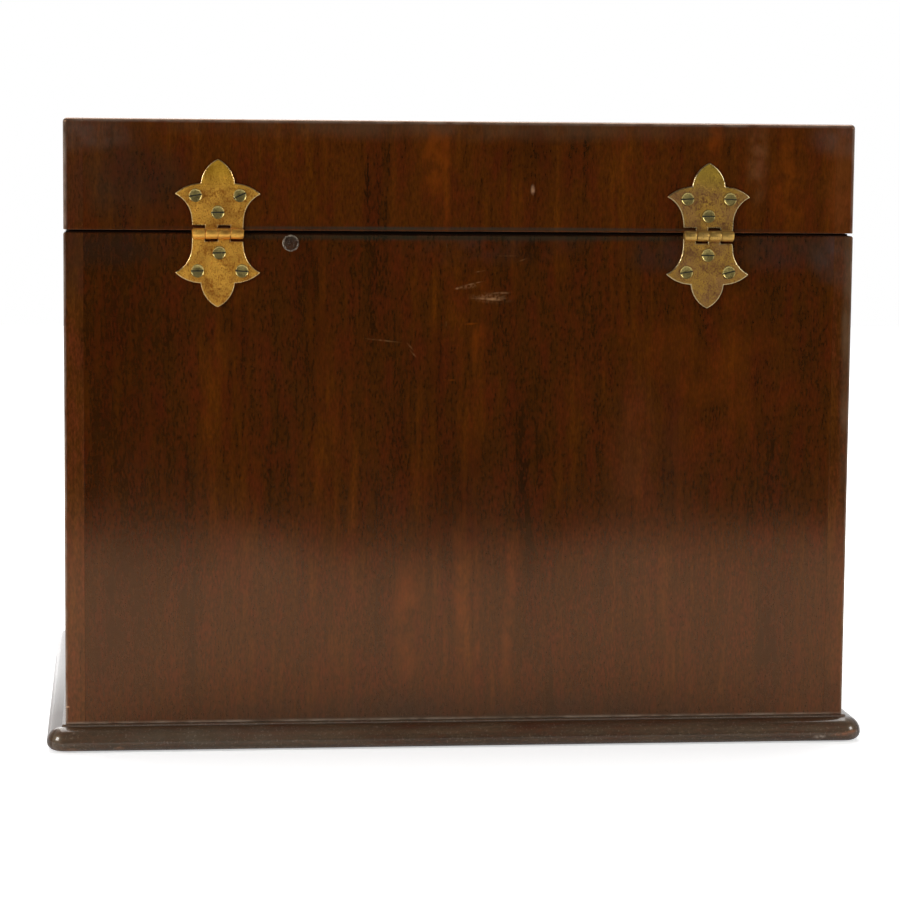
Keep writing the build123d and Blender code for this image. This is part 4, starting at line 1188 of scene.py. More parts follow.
def make_finishes() -> dict[Finish, bpy.types.Material]:
    """Builds every material of the chest once.

    Returns:
        Each finish's material.
    """
    lid_wood = {"shell": LID_SHELL, "wear_mm": 2.4}
    base_wood = {"seed": 3.4, "dark": "#281e16", "middle": "#463424", "light": "#604a36",
                 "red": "#44200f", "amber": "#f2dfc2", "dust": 0.16, "marks": BASE_MARKS}
    recipes = {
        # dark red-brown back and sides, with a soft mirror of the room across the back's lower half
        Finish.BODY: LacqueredMahogany(shell=BODY_SHELL, marks=BACK_MARKS, warp=BACK_WARP),
        # the same lacquer, a shade paler on the boards' back edges
        Finish.BODY_EDGE: LacqueredMahogany(
            middle="#4a2608", light="#6a3a12", red="#542410", seed=0.7, shell=BODY_SHELL,
            marks=EDGE_MARKS),
        # the lid's warmer boards, with wider wear along their edges
        Finish.LID: LacqueredMahogany(middle="#462104", light="#643206", marks=LID_MARKS, **lid_wood),
        Finish.LID_EDGE: LacqueredMahogany(
            middle="#45220a", light="#603410", red="#4c200e", seed=0.7, marks=LID_MARKS, **lid_wood),
        Finish.LID_TOP: LacqueredMahogany(grain=Grain.ACROSS, seed=1.3, **lid_wood),
        # grain that runs across, so that the fronts look cut from one board
        Finish.FRONT: LacqueredMahogany(grain=Grain.ACROSS, seed=2.1, middle="#46200a"),
        # a greyer brown under dust, dull below its thick coat, which gives small bright points
        Finish.BASE: LacqueredMahogany(
            grain=Grain.ACROSS, roughness=0.42, specular=0.6, coat=0.7, **base_wood),
        # glossier sides that fade to the room's white, but less so at the rubbed back corners
        Finish.BASE_SIDE: LacqueredMahogany(
            grain=Grain.DEPTH, roughness=0.14, specular=1.0, coat=1.0, rubbed_coat=0.12, **base_wood),
        # painted shade: near-black wood on the meeting edges, which reads as the shadow line between
        # body and lid
        Finish.BARE: PlanedWood(Grain.ACROSS, dark="#0c0704", light="#1c0f07", gloss=0.1),
        # pale dull cedar, plainly cheaper wood than the lacquered outside
        Finish.INSIDE: PlanedWood(Grain.ACROSS),
        Finish.DRAWER_SIDE: PlanedWood(Grain.DEPTH),
        Finish.DRAWER_BACK: PlanedWood(Grain.ACROSS),
        # warm brown flannel, soft and matt
        Finish.CLOTH: NappedCloth(dark="#3d2c20", light="#5b4433", nap="#b08a66"),
        # dark green baize that shows only under the base
        Finish.FELT: NappedCloth(dark="#1d3a24", light="#2f5236", nap="#7aa07e", sheen=0.2),
        # a bright hinge, gold with orange blotches, and a painted highlight on its knuckles
        Finish.GOLD_HINGE: TarnishedBrass(
            gold="#ffc452", copper="#d6822f", tarnish="#a5642c", speck="#6a4018", tip="#e4b030",
            joint="#f0bc60"),
        # its browner neighbour, with more tarnish over less gold, and the same painted knuckle highlight
        Finish.BROWN_HINGE: TarnishedBrass(
            gold="#cda046", copper="#9a6840", tarnish="#946650", speck="#54401e", tip="#c2a43a",
            joint="#dcb866", tarnish_amount=0.65),
        # the leaves' cut rims, which stay brighter and catch a thin line of light
        Finish.GOLD_RIM: TarnishedBrass(
            gold="#f0cf90", copper="#dcae68", tarnish="#a87c44", speck="#6a4a20", roughness=0.28),
        Finish.BROWN_RIM: TarnishedBrass(
            gold="#e6d2a0", copper="#bf9f68", tarnish="#8f7a4c", speck="#5a4a2c", roughness=0.28),
        # dull dark lines that make the screw slots read
        Finish.GRIME: OldWax(),
        # greenish dull heads, paler than the leaves round them
        Finish.SCREW: TarnishedBrass(
            gold="#c4b06c", copper="#9a8852", tarnish="#787048", speck="#50462c", blotch_mm=2.6,
            grit_mm=0.7, roughness=0.36, tarnish_amount=0.6),
        # handled cast brass, brown in its hollows
        Finish.PULL: TarnishedBrass(
            gold="#cda24e", copper="#9c6c30", tarnish="#6b5529", speck="#3e3018", roughness=0.34,
            blotch_mm=5.0, tarnish_amount=0.7),
        # flat rolled bars, even in tone and a little brighter than the pulls
        Finish.STAY: TarnishedBrass(
            gold="#d2aa58", copper="#ae8540", tarnish="#7d6b3e", speck="#4d3f20", roughness=0.32),
        # grey zinc on the nuts and hidden screws
        Finish.STEEL: TarnishedBrass(
            gold="#b9b7ae", copper="#9a9890", tarnish="#77756c", speck="#4c4a44", roughness=0.3),
        # a see-through button with a milky ring
        Finish.VINYL: ClearVinyl(),
    }
    return {finish: recipe.build(finish.value) for finish, recipe in recipes.items()}


# ---------------------------------------------------------------- sub-assemblies
@dataclass
class Assembly:
    """Pieces that are built from the same finishes."""

    finishes: dict[Finish, bpy.types.Material]
    made: list[tuple[Piece, str]] = field(default_factory=list)

    def dress(self, piece: Piece, looks: Sequence[Finish]) -> Piece:
        """Gives a piece one finish for each of its material slots.

        Args:
            piece: The piece.
            looks: The finishes in the slots' order, or none where it has its own already.

        Returns:
            The same piece.
        """
        if looks:
            slots = [face.material_index for face in piece.data.polygons]
            piece.data.materials.clear()
            for look in looks:
                piece.data.materials.append(self.finishes[look])
            piece.data.polygons.foreach_set("material_index", slots)
        return piece

    def stand_in(self, piece: Piece, body: str, looks: Sequence[Finish], *nodes: str) -> Piece:
        """Dresses a finished piece and lets it ride in place of frame nodes.

        Args:
            piece: The piece, in its place.
            body: The body that it moves with.
            looks: The finish of each material slot, or none where the piece is dressed already.
            *nodes: The frame nodes that it stands for.

        Returns:
            The same piece.
        """
        self.dress(piece, looks)
        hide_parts(*nodes)
        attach(piece, body)
        self.made.append((piece, body))
        return piece

    def smooth_copy(self, node: str, body: str, look: Finish, round_mm: float) -> Piece:
        """Finishes a copy of a frame node by rounding its edges.

        Args:
            node: The frame node.
            body: The body that it moves with.
            look: Its finish.
            round_mm: Width of the rounding in millimetres.

        Returns:
            The finished piece.
        """
        return self.stand_in(ease(copy_of(node), round_mm, segments=2), body, [look], node)

    def cloth_tray(self, node: str, body: str, round_mm: float, board: str) -> None:
        """Finishes a lining as a rounded copy of its frame node, in cloth.

        Args:
            node: The frame node.
            body: The body that it moves with.
            round_mm: Width of the rounding in millimetres.
            board: Not used.
        """
        tray = self.smooth_copy(node, body, Finish.CLOTH, round_mm)


@dataclass
class MouldedBase(Assembly):
    """The base board with its moulded edge, its felt and the screws under it, in millimetres."""

    projection: float = 9.6
    fillet_step: float = 1.8
    fillet_height: float = 1.1
    fillet_lean: float = 0.05
    corner_radius: float = 9.3
    corner_steps: int = 10
    widest: float = 4.2
    undercut: float = 4.4
    arris: float = 0.5
    arc_steps: int = 9
    felt_round: float = 0.3
    screw_round: float = 0.15

    def build(self) -> None:
        """Builds the board, the felt and the screws."""
        self.board()
        felt = board("base_felt", self.felt_round)
        self.stand_in(felt, "chest", [Finish.FELT], "base_felt")
        self.smooth_copy("base_screws", "chest", Finish.STEEL, self.screw_round)

    def board(self) -> None:
        """Shapes the moulded edge by insets that follow its section from its widest line."""
        low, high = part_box("base_board")
        thickness = (high.z - low.z) / MM
        piece = block("base_board_finished", low, high)
        step = thickness - self.fillet_height
        reach = self.projection - self.fillet_step
        upper, lower = [], []
        for number in range(1, self.arc_steps + 1):
            angle = pi / 2 * number / self.arc_steps
            upper.append((self.arris + (reach - self.arris) * cos(angle),
                          self.widest + (step - self.widest) * sin(angle)))
            lower.append((reach - self.undercut * (1 - cos(angle)), self.widest * (1 - sin(angle))))
        upper += [(self.fillet_lean, step), (0.0, thickness - self.arris), (-self.arris, thickness)]
        bevel(piece, self.corner_radius, self.corner_steps,
              lambda edge: abs(edge.verts[0].co.z - edge.verts[1].co.z) > MM)
        self._squeeze(piece, low.z + self.widest * MM)
        self._follow(piece, 1, (reach, self.widest), upper)
        self._follow(piece, -1, (reach, self.widest), lower)
        wall_x, wall_y = high.x - self.projection * MM, high.y - self.projection * MM
        sort_faces(piece, lambda face: int(
            abs(face.center.x) - wall_x > abs(face.center.y) - wall_y))
        self.stand_in(smoothed(piece, 40), "chest", [Finish.BASE, Finish.BASE_SIDE], "base_board")

    def _squeeze(self, piece: Piece, height: float) -> None:
        """Flattens the block to a thin slab round the moulding's widest line.

        Args:
            piece: The block.
            height: Z of that line, in metres.
        """
        slab = 0.02 * MM
        for sign in (-1, 1):
            select(piece, Part.FACES, lambda face: face.normal.z * sign > 0.5)
            top = max if sign > 0 else min
            edge = top(vertex.co.z for vertex in bmesh.from_edit_mesh(piece.data).verts)
            bpy.ops.transform.translate(value=(0, 0, height + sign * slab - edge))
        bpy.ops.object.mode_set(mode="OBJECT")

    def _follow(self, piece: Piece, sign: int, start: Point, section: Sequence[Point]) -> None:
        """Insets the top or bottom face again and again along a section.

        Args:
            piece: The slab.
            sign: +1 for the top face and -1 for the bottom one.
            start: Reach and height where the section starts, in millimetres.
            section: Reach and height of each further point.
        """
        select(piece, Part.FACES, lambda face: face.normal.z * sign > 0.5)
        reach, height = start
        for new_reach, new_height in section:
            bpy.ops.mesh.inset(thickness=(reach - new_reach) * MM,
                               depth=(new_height - height) * sign * MM)
            reach, height = new_reach, new_height
        bpy.ops.object.mode_set(mode="OBJECT")


@dataclass
class Carcase(Assembly):
    """The standing box: sides, back, front rail and the boards between them, in millimetres."""

    edge_round: float = 1.2
    joint_round: float = 0.12
    inner_round: float = 0.3
    lip_round: float = 1.15
    # how far the boards stand above their frame nodes: up to the groove's floor, and the tongue
    # that is left inside the groove
    closing: float = 0.8
    tongue: float = 1.0
    groove: float = 2.6

    def build(self) -> None:
        """Builds every board of the carcase."""
        for side in ("left", "right"):
            self.side(f"{side}_side_panel")
        self.panel("back_panel")
        self.panel("well_front_rail")
        for node in ("well_floor", "drawer_stops"):
            self.smooth_copy(node, "chest", Finish.INSIDE, self.inner_round)
        self.divider()

    def divider(self) -> None:
        """The board between the drawers, with its lacquered front, as it shows between the sides."""
        low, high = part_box("drawer_divider")
        rail_low, rail_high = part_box("well_front_rail")
        piece = block("drawer_divider_finished",
                      (rail_low.x, low.y, low.z), (rail_high.x, high.y, high.z))
        sort_faces(ease(piece, self.inner_round), lambda face: int(face.normal.y < -FACING))
        self.stand_in(piece, "chest", [Finish.INSIDE, Finish.FRONT], "drawer_divider")

    def side(self, node: str) -> None:
        """A side board, with its outer edges rounded and its ends in a paler tone.

        Args:
            node: The frame node that it stands for.
        """
        low, high = self.closed(node)
        outer = max(low.x, high.x, key=abs)
        piece = block(f"{node}_finished", low, high)
        bevel(piece, self.edge_round, 4, lambda edge: (
            at(edge, 0, outer) and not at(edge, 2, low.z) and not at(edge, 2, high.z)))
        self.groove_under_lid(piece, low, high, [(0, outer), (1, low.y), (1, high.y)])
        # faces outside the groove go in slot 2 on the board's ends and stay in slot 0 elsewhere
        sort_faces(piece, lambda face: (
            face.material_index or 2 * int(abs(face.normal.y) > FACING)))
        self.stand_in(piece, "chest", [Finish.BODY, Finish.BARE, Finish.BODY_EDGE], node)

    def panel(self, node: str) -> None:
        """A board between the sides, with the same groove under the lid.

        Args:
            node: The frame node that it stands for.
        """
        low, high = self.closed(node)
        outer = max(low.y, high.y, key=abs)
        piece = block(f"{node}_finished", low, high)
        self.groove_under_lid(piece, low, high, [(1, outer)])
        self.stand_in(piece, "chest", [Finish.BODY, Finish.BARE], node)

    def closed(self, node: str) -> tuple[Vector, Vector]:
        """A node's box, drawn up until the lid almost rests on it."""
        low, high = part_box(node)
        return low, high + Vector((0, 0, (self.closing + self.tongue) * MM))

    def groove_under_lid(self, piece: Piece, low: Vector, high: Vector,
                         faces: Sequence[tuple[int, float]]) -> None:
        """Cuts the shallow groove that shows between body and lid, its faces painted near-black as
        shade, and rounds its lip.

        Args:
            piece: The board, which gets two slots: its faces, and the groove's faces, painted near-black
                as shade.
            low: The board's lowest corner.
            high: Its highest corner.
            faces: Axis and place of each outer face that the groove runs along.
        """
        shelf = high.z - self.tongue * MM
        margin = Vector((MM, MM, MM))
        for axis, value in faces:
            start, end = low - margin, high + margin
            start.z = shelf
            if value == low[axis]:
                end[axis] = value + self.groove * MM
            else:
                start[axis] = value - self.groove * MM
            cut_out(piece, block("groove", start, end))
        past_corner = self.edge_round * 1.05 * MM
        bevel(piece, self.lip_round, 3, lambda edge: at(edge, 2, shelf) and all(
            min(abs(vertex.co[axis] - value) for axis, value in faces) < past_corner
            for vertex in edge.verts))
        ease(piece, self.joint_round, segments=2, angle=50)
        sort_faces(piece, lambda face: int(face.normal.z > LEVEL or face.center.z > shelf + NEAR))


@dataclass
class WellFittings(Assembly):
    """The cloth lining of the well and its two slotted racks, in millimetres."""

    cloth_round: float = 0.6
    rack_round: float = 1.4

    def build(self) -> None:
        """Builds the lining and the racks."""
        self.cloth_tray("well_lining", "chest", self.cloth_round, "well_floor_finished")
        for node in ("well_front_rack", "well_rear_rack"):
            self.smooth_copy(node, "chest", Finish.CLOTH, self.rack_round)


@dataclass
class Lid(Assembly):
    """The lid: its rails, top board, padded lining and knife racks, in millimetres."""

    edge_round: float = 2.2
    joint_round: float = 0.12
    lip_round: float = 0.35
    rack_round: float = 1.2
    # how far the rails stop above the body, which leaves the thin gap of a closed lid
    lift: float = 0.9
    notch_width: float = 46.0
    notch_height: float = 4.0
    notch_depth: float = 6.0
    notch_sides: int = 256
    skirt: float = 2.0
    skirt_round: float = 0.6
    pad_margin: float = 46.0
    pad_sag: float = 2.4
    pad_cuts: int = 40

    def build(self) -> None:
        """Builds every piece of the lid."""
        top = board("lid_top_panel", self.joint_round / 2)
        self.stand_in(top, "lid", [Finish.LID_TOP], "lid_top_panel")
        for side in ("left", "right", "back", "front"):
            self.rail(f"lid_{side}_rail")
        self.lining()
        self.smooth_copy("lid_knife_racks", "lid", Finish.CLOTH, self.rack_round)

    def rail(self, node: str) -> None:
        """A rail with its outer edges rounded and a rabbet for the top board.

        Args:
            node: The frame node that it stands for.
        """
        low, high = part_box(node)
        low.z += self.lift * MM
        piece = block(f"{node}_finished", low, high)
        axis = 0 if high.y - low.y > high.x - low.x else 1
        inner, outer = sorted((low[axis], high[axis]), key=abs)

        def rounded(edge: bmesh.types.BMEdge) -> bool:
            """Says whether an edge is one of the rail's upper outer ones, or a corner of the lid.

            Args:
                edge: The edge.

            Returns:
                True where it is rounded.
            """
            upright = not at(edge, 2, low.z) and not at(edge, 2, high.z)
            if axis == 0:
                return (at(edge, 2, high.z) and not at(edge, 0, inner)
                        or upright and at(edge, 0, outer))
            return at(edge, 2, high.z) and at(edge, 1, outer)

        bevel(piece, self.edge_round, 5, rounded)
        bevel(piece, self.lip_round, 3, lambda edge: at(edge, 2, low.z) and (
            not at(edge, 0, inner) if axis == 0 else at(edge, 1, outer)))
        top_low, top_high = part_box("lid_top_panel")
        cut_out(piece, block("rabbet", top_low, top_high + Vector((0, 0, MM))))
        if "front" in node:
            cut_out(piece, self.thumb_scoop(low))
        ease(piece, self.joint_round, segments=2, angle=50)
        # slot 2, painted near-black as shade, on the meeting edge below, slot 1 on a side rail's ends
        # and slot 0 elsewhere
        sort_faces(piece, lambda face: (
            2 if face.normal.z < -LEVEL else int(axis == 0 and abs(face.normal.y) > FACING)))
        self.stand_in(piece, "lid", [Finish.LID, Finish.LID_EDGE, Finish.BARE], node)

    def thumb_scoop(self, low: Vector) -> Piece:
        """Makes the cutter of the shallow arch under the front rail.

        Args:
            low: The rail's lowest corner.

        Returns:
            A broad flat drum, in its place.
        """
        radius = (self.notch_width ** 2 / 4 + self.notch_height ** 2) / (2 * self.notch_height)
        drum = turned("thumb_scoop", [(radius, -1.0), (radius, self.notch_depth)],
                      sides=self.notch_sides)
        place = Matrix.Translation((0, low.y, low.z + (self.notch_height - radius) * MM))
        return placed(drum, place @ turn("X", -90))

    def lining(self) -> None:
        """The cloth skirt round the rails and the crowned pad under the top board."""
        low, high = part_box("lid_lining")
        thick = self.skirt * MM
        pad_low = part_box("lid_knife_racks")[1].z
        pad = block("lid_lining_finished", (low.x, low.y, pad_low), high)
        select_all_faces(pad)
        bpy.ops.mesh.subdivide(number_cuts=self.pad_cuts)
        bpy.ops.object.mode_set(mode="OBJECT")
        for vertex in pad.data.vertices:
            if vertex.co.z < (pad_low + high.z) / 2:
                edge = min(high.x - abs(vertex.co.x), high.y - abs(vertex.co.y)) / MM - self.skirt
                slack = max(0.0, 1.0 - edge / self.pad_margin) ** 2
                vertex.co.z += self.pad_sag * MM * slack
        pieces = [smoothed(pad, 50)]
        for start, end in (((low.x, low.y), (low.x + thick, high.y)),
                           ((high.x - thick, low.y), (high.x, high.y)),
                           ((low.x + thick, low.y), (high.x - thick, low.y + thick)),
                           ((low.x + thick, high.y - thick), (high.x - thick, high.y))):
            pieces.append(ease(block("skirt", (*start, low.z), (*end, high.z)), self.skirt_round))
        lining = joined("lid_lining_finished", pieces)
        self.stand_in(lining, "lid", [Finish.CLOTH], "lid_lining")


@dataclass
class Screw:
    """A slotted countersunk screw, its flat head ringed by the countersink's burr, in millimetres."""

    # radius and height of each ring: the shank, the countersunk head, the burr and the dished face
    rings: tuple[Point, ...] = (
        (1.7, -8.6), (1.7, -2.55), (3.28, -0.12), (3.4, 0.0), (3.36, 0.525), (3.22, 0.75),
        (2.85, 0.56), (2.6, 0.5), (0.4, 0.54))
    radius: float = 3.4
    dish: float = 0.5
    slot_width: float = 0.7
    slot_depth: float = 0.45
    sides: int = 40

    def model(self, name: str) -> Piece:
        """Models one screw along +Z with its rim at the origin.

        Args:
            name: The piece's name.

        Returns:
            The screw, with one slot for its brass and one for the dirt in its slot.
        """
        piece = turned(name, self.rings, sides=self.sides)
        half, reach, depth = self.slot_width / 2, self.radius + 1, self.dish - self.slot_depth
        cut_out(piece, block("slot_cutter", Vector((-reach, -half, depth)) * MM,
                             Vector((reach, half, 1)) * MM))
        for _ in range(2):
            piece.data.materials.append(None)
        sort_faces(piece, lambda face: int(
            abs(face.center.y) < (half + 0.01) * MM and 0 < face.center.z < (self.dish - 0.01) * MM))
        return smoothed(piece, 35)


@dataclass
class HingeLeaf:
    """A stamped fleur-de-lis plate that rolls into two knuckles, in millimetres up from its pin."""

    half_waist: float = 13.2
    half_roll: float = 12.8
    waist_height: float = 8.0
    wing: Point = (21.6, 19.8)
    petal: Point = (8.6, 25.2)
    tip: float = 37.4
    waist_hollow: float = -1.9
    wing_swell: float = 1.3
    petal_swell: float = 2.0
    thickness: float = 1.3
    notch: float = 3.98
    root: float = 1.3
    knuckle: float = 2.7
    knuckles: int = 4
    # how far each ring of a knuckle's rounded end lies in from its radius and from that end
    knuckle_end: tuple[Point, ...] = ((0.3, 0.0), (0.08, 0.1), (0.0, 0.35))
    bore: float = 1.45
    gap: float = 0.25
    rim: float = 0.45
    sides: int = 40

    def outline(self, own: Sequence[Point]) -> list[Point]:
        """Draws the plate, round from its lower right, with notches for the other leaf.

        Args:
            own: The leaf's own stretches along the pin.

        Returns:
            The corners of the outline.
        """
        waist = (self.half_waist, self.waist_height)
        right = [waist, *bowed(waist, self.wing, self.waist_hollow),
                 *bowed(self.wing, self.petal, self.wing_swell),
                 *bowed(self.petal, (0.0, self.tip), self.petal_swell)]
        left = [(-x, z) for x, z in reversed(right[:-1])]
        foot = [(-self.half_roll, self.root if own[0][0] <= -self.half_roll else self.notch)]
        for start, end in own:
            if start > -self.half_roll:
                foot += [(start, self.notch), (start, self.root)]
            if end < self.half_roll:
                foot += [(end, self.root), (end, self.notch)]
        foot.append((self.half_roll, self.root if own[-1][1] >= self.half_roll else self.notch))
        return right + left + foot

    def spans(self) -> list[Point]:
        """Shares the pin out between two leaves that interlock.

        Returns:
            Start and end of this leaf's own stretches, which are every other one.
        """
        pitch = 2 * self.half_roll / self.knuckles
        starts = [number * pitch - self.half_roll for number in range(0, self.knuckles, 2)]
        return [(x, x + pitch) for x in starts]

    def model(self, wall: float, dress: Callable[[Piece], Piece]) -> Piece:
        """Models the leaf with its pin along X at the origin.

        Args:
            wall: Y of the wood's face from the pin, in millimetres.
            dress: Gives a piece its two finishes, of the face and of the cut and rolled edges.

        Returns:
            The leaf, standing up from its pin.
        """
        own = self.spans()
        flat = dress(plate("leaf", self.outline(own), wall, wall + self.thickness))
        sort_faces(flat, lambda face: int(abs(face.normal.y) < 0.5))
        parts = [ease(flat, self.rim, segments=3, angle=50, material=1)]
        for start, end in own:
            low, high = start + self.gap / 2, end - self.gap / 2
            lower = [(self.knuckle - inset, low + along) for inset, along in self.knuckle_end]
            upper = [(self.knuckle - inset, high - along) for inset, along in self.knuckle_end[::-1]]
            rings = [(self.bore, low), *lower, *upper, (self.bore, high)]
            barrel = placed(turned("knuckle", rings, sides=self.sides), turn("Y", 90))
            parts.append(dress(smoothed(barrel, 40)))
        return joined("leaf", parts)


@dataclass
class Hinges(Assembly):
    """Both fleur-de-lis hinges: leaves, pins and screws, in millimetres and degrees."""

    pin_half: float = 13.05
    # radius of each ring of the pin's riveted head, and how far it lies in from the pin's end
    pin_head: tuple[Point, ...] = ((1.6, 0.0), (1.95, 0.06), (2.1, 0.2), (2.1, 0.4), (1.35, 0.4))
    pin_sides: int = 40
    screw_places: tuple[Point, ...] = ((-11.1, 18.8), (11.1, 18.8), (0.0, 10.0))
    # how each screw's slot came to stand, turned from level
    slot_turns: dict[str, tuple[float, ...]] = field(default_factory=lambda: {
        "left_upper": (-2.0, 3.0, 0.0), "right_upper": (25.0, 10.0, 1.0),
        "left_lower": (15.0, 8.0, -1.0), "right_lower": (-4.0, 0.0, 2.0)})
    # how far a hinge, and each of its screws, sits from where it was marked out
    aside: dict[str, float] = field(default_factory=lambda: {"left": 0.0, "right": -0.8})
    drift: dict[str, tuple[Point, ...]] = field(default_factory=lambda: {
        "left_upper": ((0.0, 0.0),) * 3, "left_lower": ((0.0, 0.0),) * 3,
        "right_upper": ((-0.8, 0.3), (-0.6, 0.3), (-0.8, 0.6)),
        "right_lower": ((-1.9, -0.2), (-1.7, -0.2), (-1.5, 0.2))})

    def build(self) -> None:
        """Builds the leaves, pins and screws of both hinges, each modelled once and copied."""
        looks = {"left": [Finish.BROWN_HINGE, Finish.BROWN_RIM],
                 "right": [Finish.GOLD_HINGE, Finish.GOLD_RIM]}
        wall = (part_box("back_panel")[1].y - self.pin_middle("left").y) / MM
        leaf_model = HingeLeaf().model(wall, lambda part: self.dress(part, looks["left"]))
        pin_model = self.pin()
        for side, look in looks.items():
            place = Matrix.Translation(self.pin_middle(side) + Vector((self.aside[side] * MM, 0, 0)))
            for leaf, body, angle in (("upper", "lid", 0), ("lower", "chest", 180)):
                node = f"{side}_hinge_{leaf}_leaf"
                piece = placed(copied(f"{node}_finished", leaf_model), place @ turn("Y", angle))
                self.stand_in(piece, body, look, node)
            node = f"{side}_hinge_pin"
            pin = placed(copied(f"{node}_finished", pin_model), place @ turn("Y", 90))
            self.stand_in(pin, "chest", look[:1], node)
        screw_model = self.dress(Screw().model("hinge_screw"), [Finish.SCREW, Finish.GRIME])
        self.screws(screw_model, "upper", "lid", 1)
        self.screws(screw_model, "lower", "chest", -1)
        for model in (leaf_model, pin_model, screw_model):
            bpy.data.objects.remove(model)

    def pin_middle(self, side: str) -> Vector:
        """The middle of a hinge's pin in the frame."""
        low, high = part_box(f"{side}_hinge_pin")
        return (low + high) / 2

    def pin(self) -> Piece:
        """Turns one hinge pin along +Z, with a low riveted head at each end.

        Returns:
            The pin.
        """
        half = [(radius, self.pin_half - along) for radius, along in self.pin_head]
        rings = [(radius, -height) for radius, height in half] + half[::-1]
        return smoothed(turned("hinge_pin", rings, sides=self.pin_sides), 40)

    def screws(self, model: Piece, leaf: str, body: str, sign: int) -> None:
        """Drives the six screws of the lid's leaves or of the body's leaves.

        Args:
            model: The screw that is copied.
            leaf: Which leaves, upper or lower.
            body: The body that they move with.
            sign: +1 for leaves that stand up from the pin and -1 for those that hang down.
        """
        node = f"{leaf}_leaf_screws"
        face_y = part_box(node)[1].y
        made = []
        for side in ("left", "right"):
            middle = self.pin_middle(side)
            key = f"{side}_{leaf}"
            for (x, z), (aside, up), slot in zip(
                    self.screw_places, self.drift[key], self.slot_turns[key]):
                place = Matrix.Translation(
                    (middle.x + (x + aside) * MM, face_y, middle.z + (sign * z + up) * MM))
                place @= turn("X", -90) @ turn("Z", slot)
                made.append(placed(copied("hinge_screw", model), place))
        self.stand_in(joined(f"{node}_finished", made), body, (), node)


@dataclass
class Stay(Assembly):
    """The folding lid stay on the right side, in millimetres."""

    edge_round: float = 0.3
    screw_round: float = 0.1

    def build(self) -> None:
        """Builds the brackets, arms, rivet and screws."""
        for node, body, look, round_mm in (
            ("stay_lid_bracket", "lid", Finish.STAY, self.edge_round),
            ("stay_body_bracket", "chest", Finish.STAY, self.edge_round),
            ("stay_upper_arm", "stay_upper_arm", Finish.STAY, self.edge_round),
            ("stay_lower_arm", "stay_lower_arm", Finish.STAY, self.edge_round),
            ("stay_elbow_rivet", "stay_lower_arm", Finish.STAY, self.edge_round),
            ("stay_lid_screws", "lid", Finish.SCREW, self.screw_round),
            ("stay_body_screws", "chest", Finish.SCREW, self.screw_round),
        ):
            self.smooth_copy(node, body, look, round_mm)


@dataclass
class Drawer(Assembly):
    """A dovetailed drawer with its cloth, its partitions and two bail pulls, in millimetres."""

    name: str = "upper"
    partitions: bool = True
    front_round: float = 0.5
    board_round: float = 0.2
    cloth_round: float = 0.5
    partition_round: float = 0.8
    bail_round: float = 0.1
    post_round: float = 0.15
    nut_round: float = 0.3

    def build(self) -> None:
        """Builds the drawer's boards, cloth and pulls."""
        body = f"{self.name}_drawer"
        front = board(f"{body}_front", self.front_round)
        for let_in in ("left_side", "right_side", "bottom"):
            cut_out(front, copy_of(f"{body}_{let_in}"))
        self.stand_in(shaded(front), body, [Finish.FRONT], f"{body}_front")
        for side in ("left", "right"):
            self.smooth_copy(f"{body}_{side}_side", body, Finish.DRAWER_SIDE, self.board_round)
            bail = f"{self.name}_{side}_bail"
            self.smooth_copy(bail, bail, Finish.PULL, self.bail_round)
        for part in ("back", "bottom"):
            self.smooth_copy(f"{body}_{part}", body, Finish.DRAWER_BACK, self.board_round)
        self.cloth_tray(f"{body}_lining", body, self.cloth_round, f"{body}_bottom_finished")
        if self.partitions:
            self.smooth_copy(f"{body}_partitions", body, Finish.CLOTH, self.partition_round)
        self.smooth_copy(f"{self.name}_pull_posts", body, Finish.PULL, self.post_round)
        self.smooth_copy(f"{self.name}_pull_nuts", body, Finish.STEEL, self.nut_round)


@dataclass
class Bumper(Assembly):
    """The clear stick-on button that keeps the lid off the wall behind."""

    flat_share: float = 0.62
    steps: int = 7

    def build(self) -> None:
        """Turns the dome and stands it on the back."""
        low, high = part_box("clear_bumper")
        radius, rise = (high.x - low.x) / 2 / MM, (high.y - low.y) / MM
        flat = radius * self.flat_share
        rings = [(radius, 0.0)] + [
            (flat + (radius - flat) * cos(pi / 2 * step / self.steps),
             rise * sin(pi / 2 * step / self.steps)) for step in range(1, self.steps + 1)]
        place = Matrix.Translation(((low.x + high.x) / 2, low.y, (low.z + high.z) / 2))
        dome = placed(turned("clear_bumper_finished", rings), place @ turn("X", -90))
        self.stand_in(smoothed(dome, 50), "chest", [Finish.VINYL], "clear_bumper")


# ---------------------------------------------------------------- studio
@dataclass(frozen=True)
class Lamp:
    """A soft lamp: where it hangs and what it points at, its size in metres and its watts."""

    name: str
    place: tuple[float, float, float]
    target: tuple[float, float, float]
    width: float
    height: float
    power: float


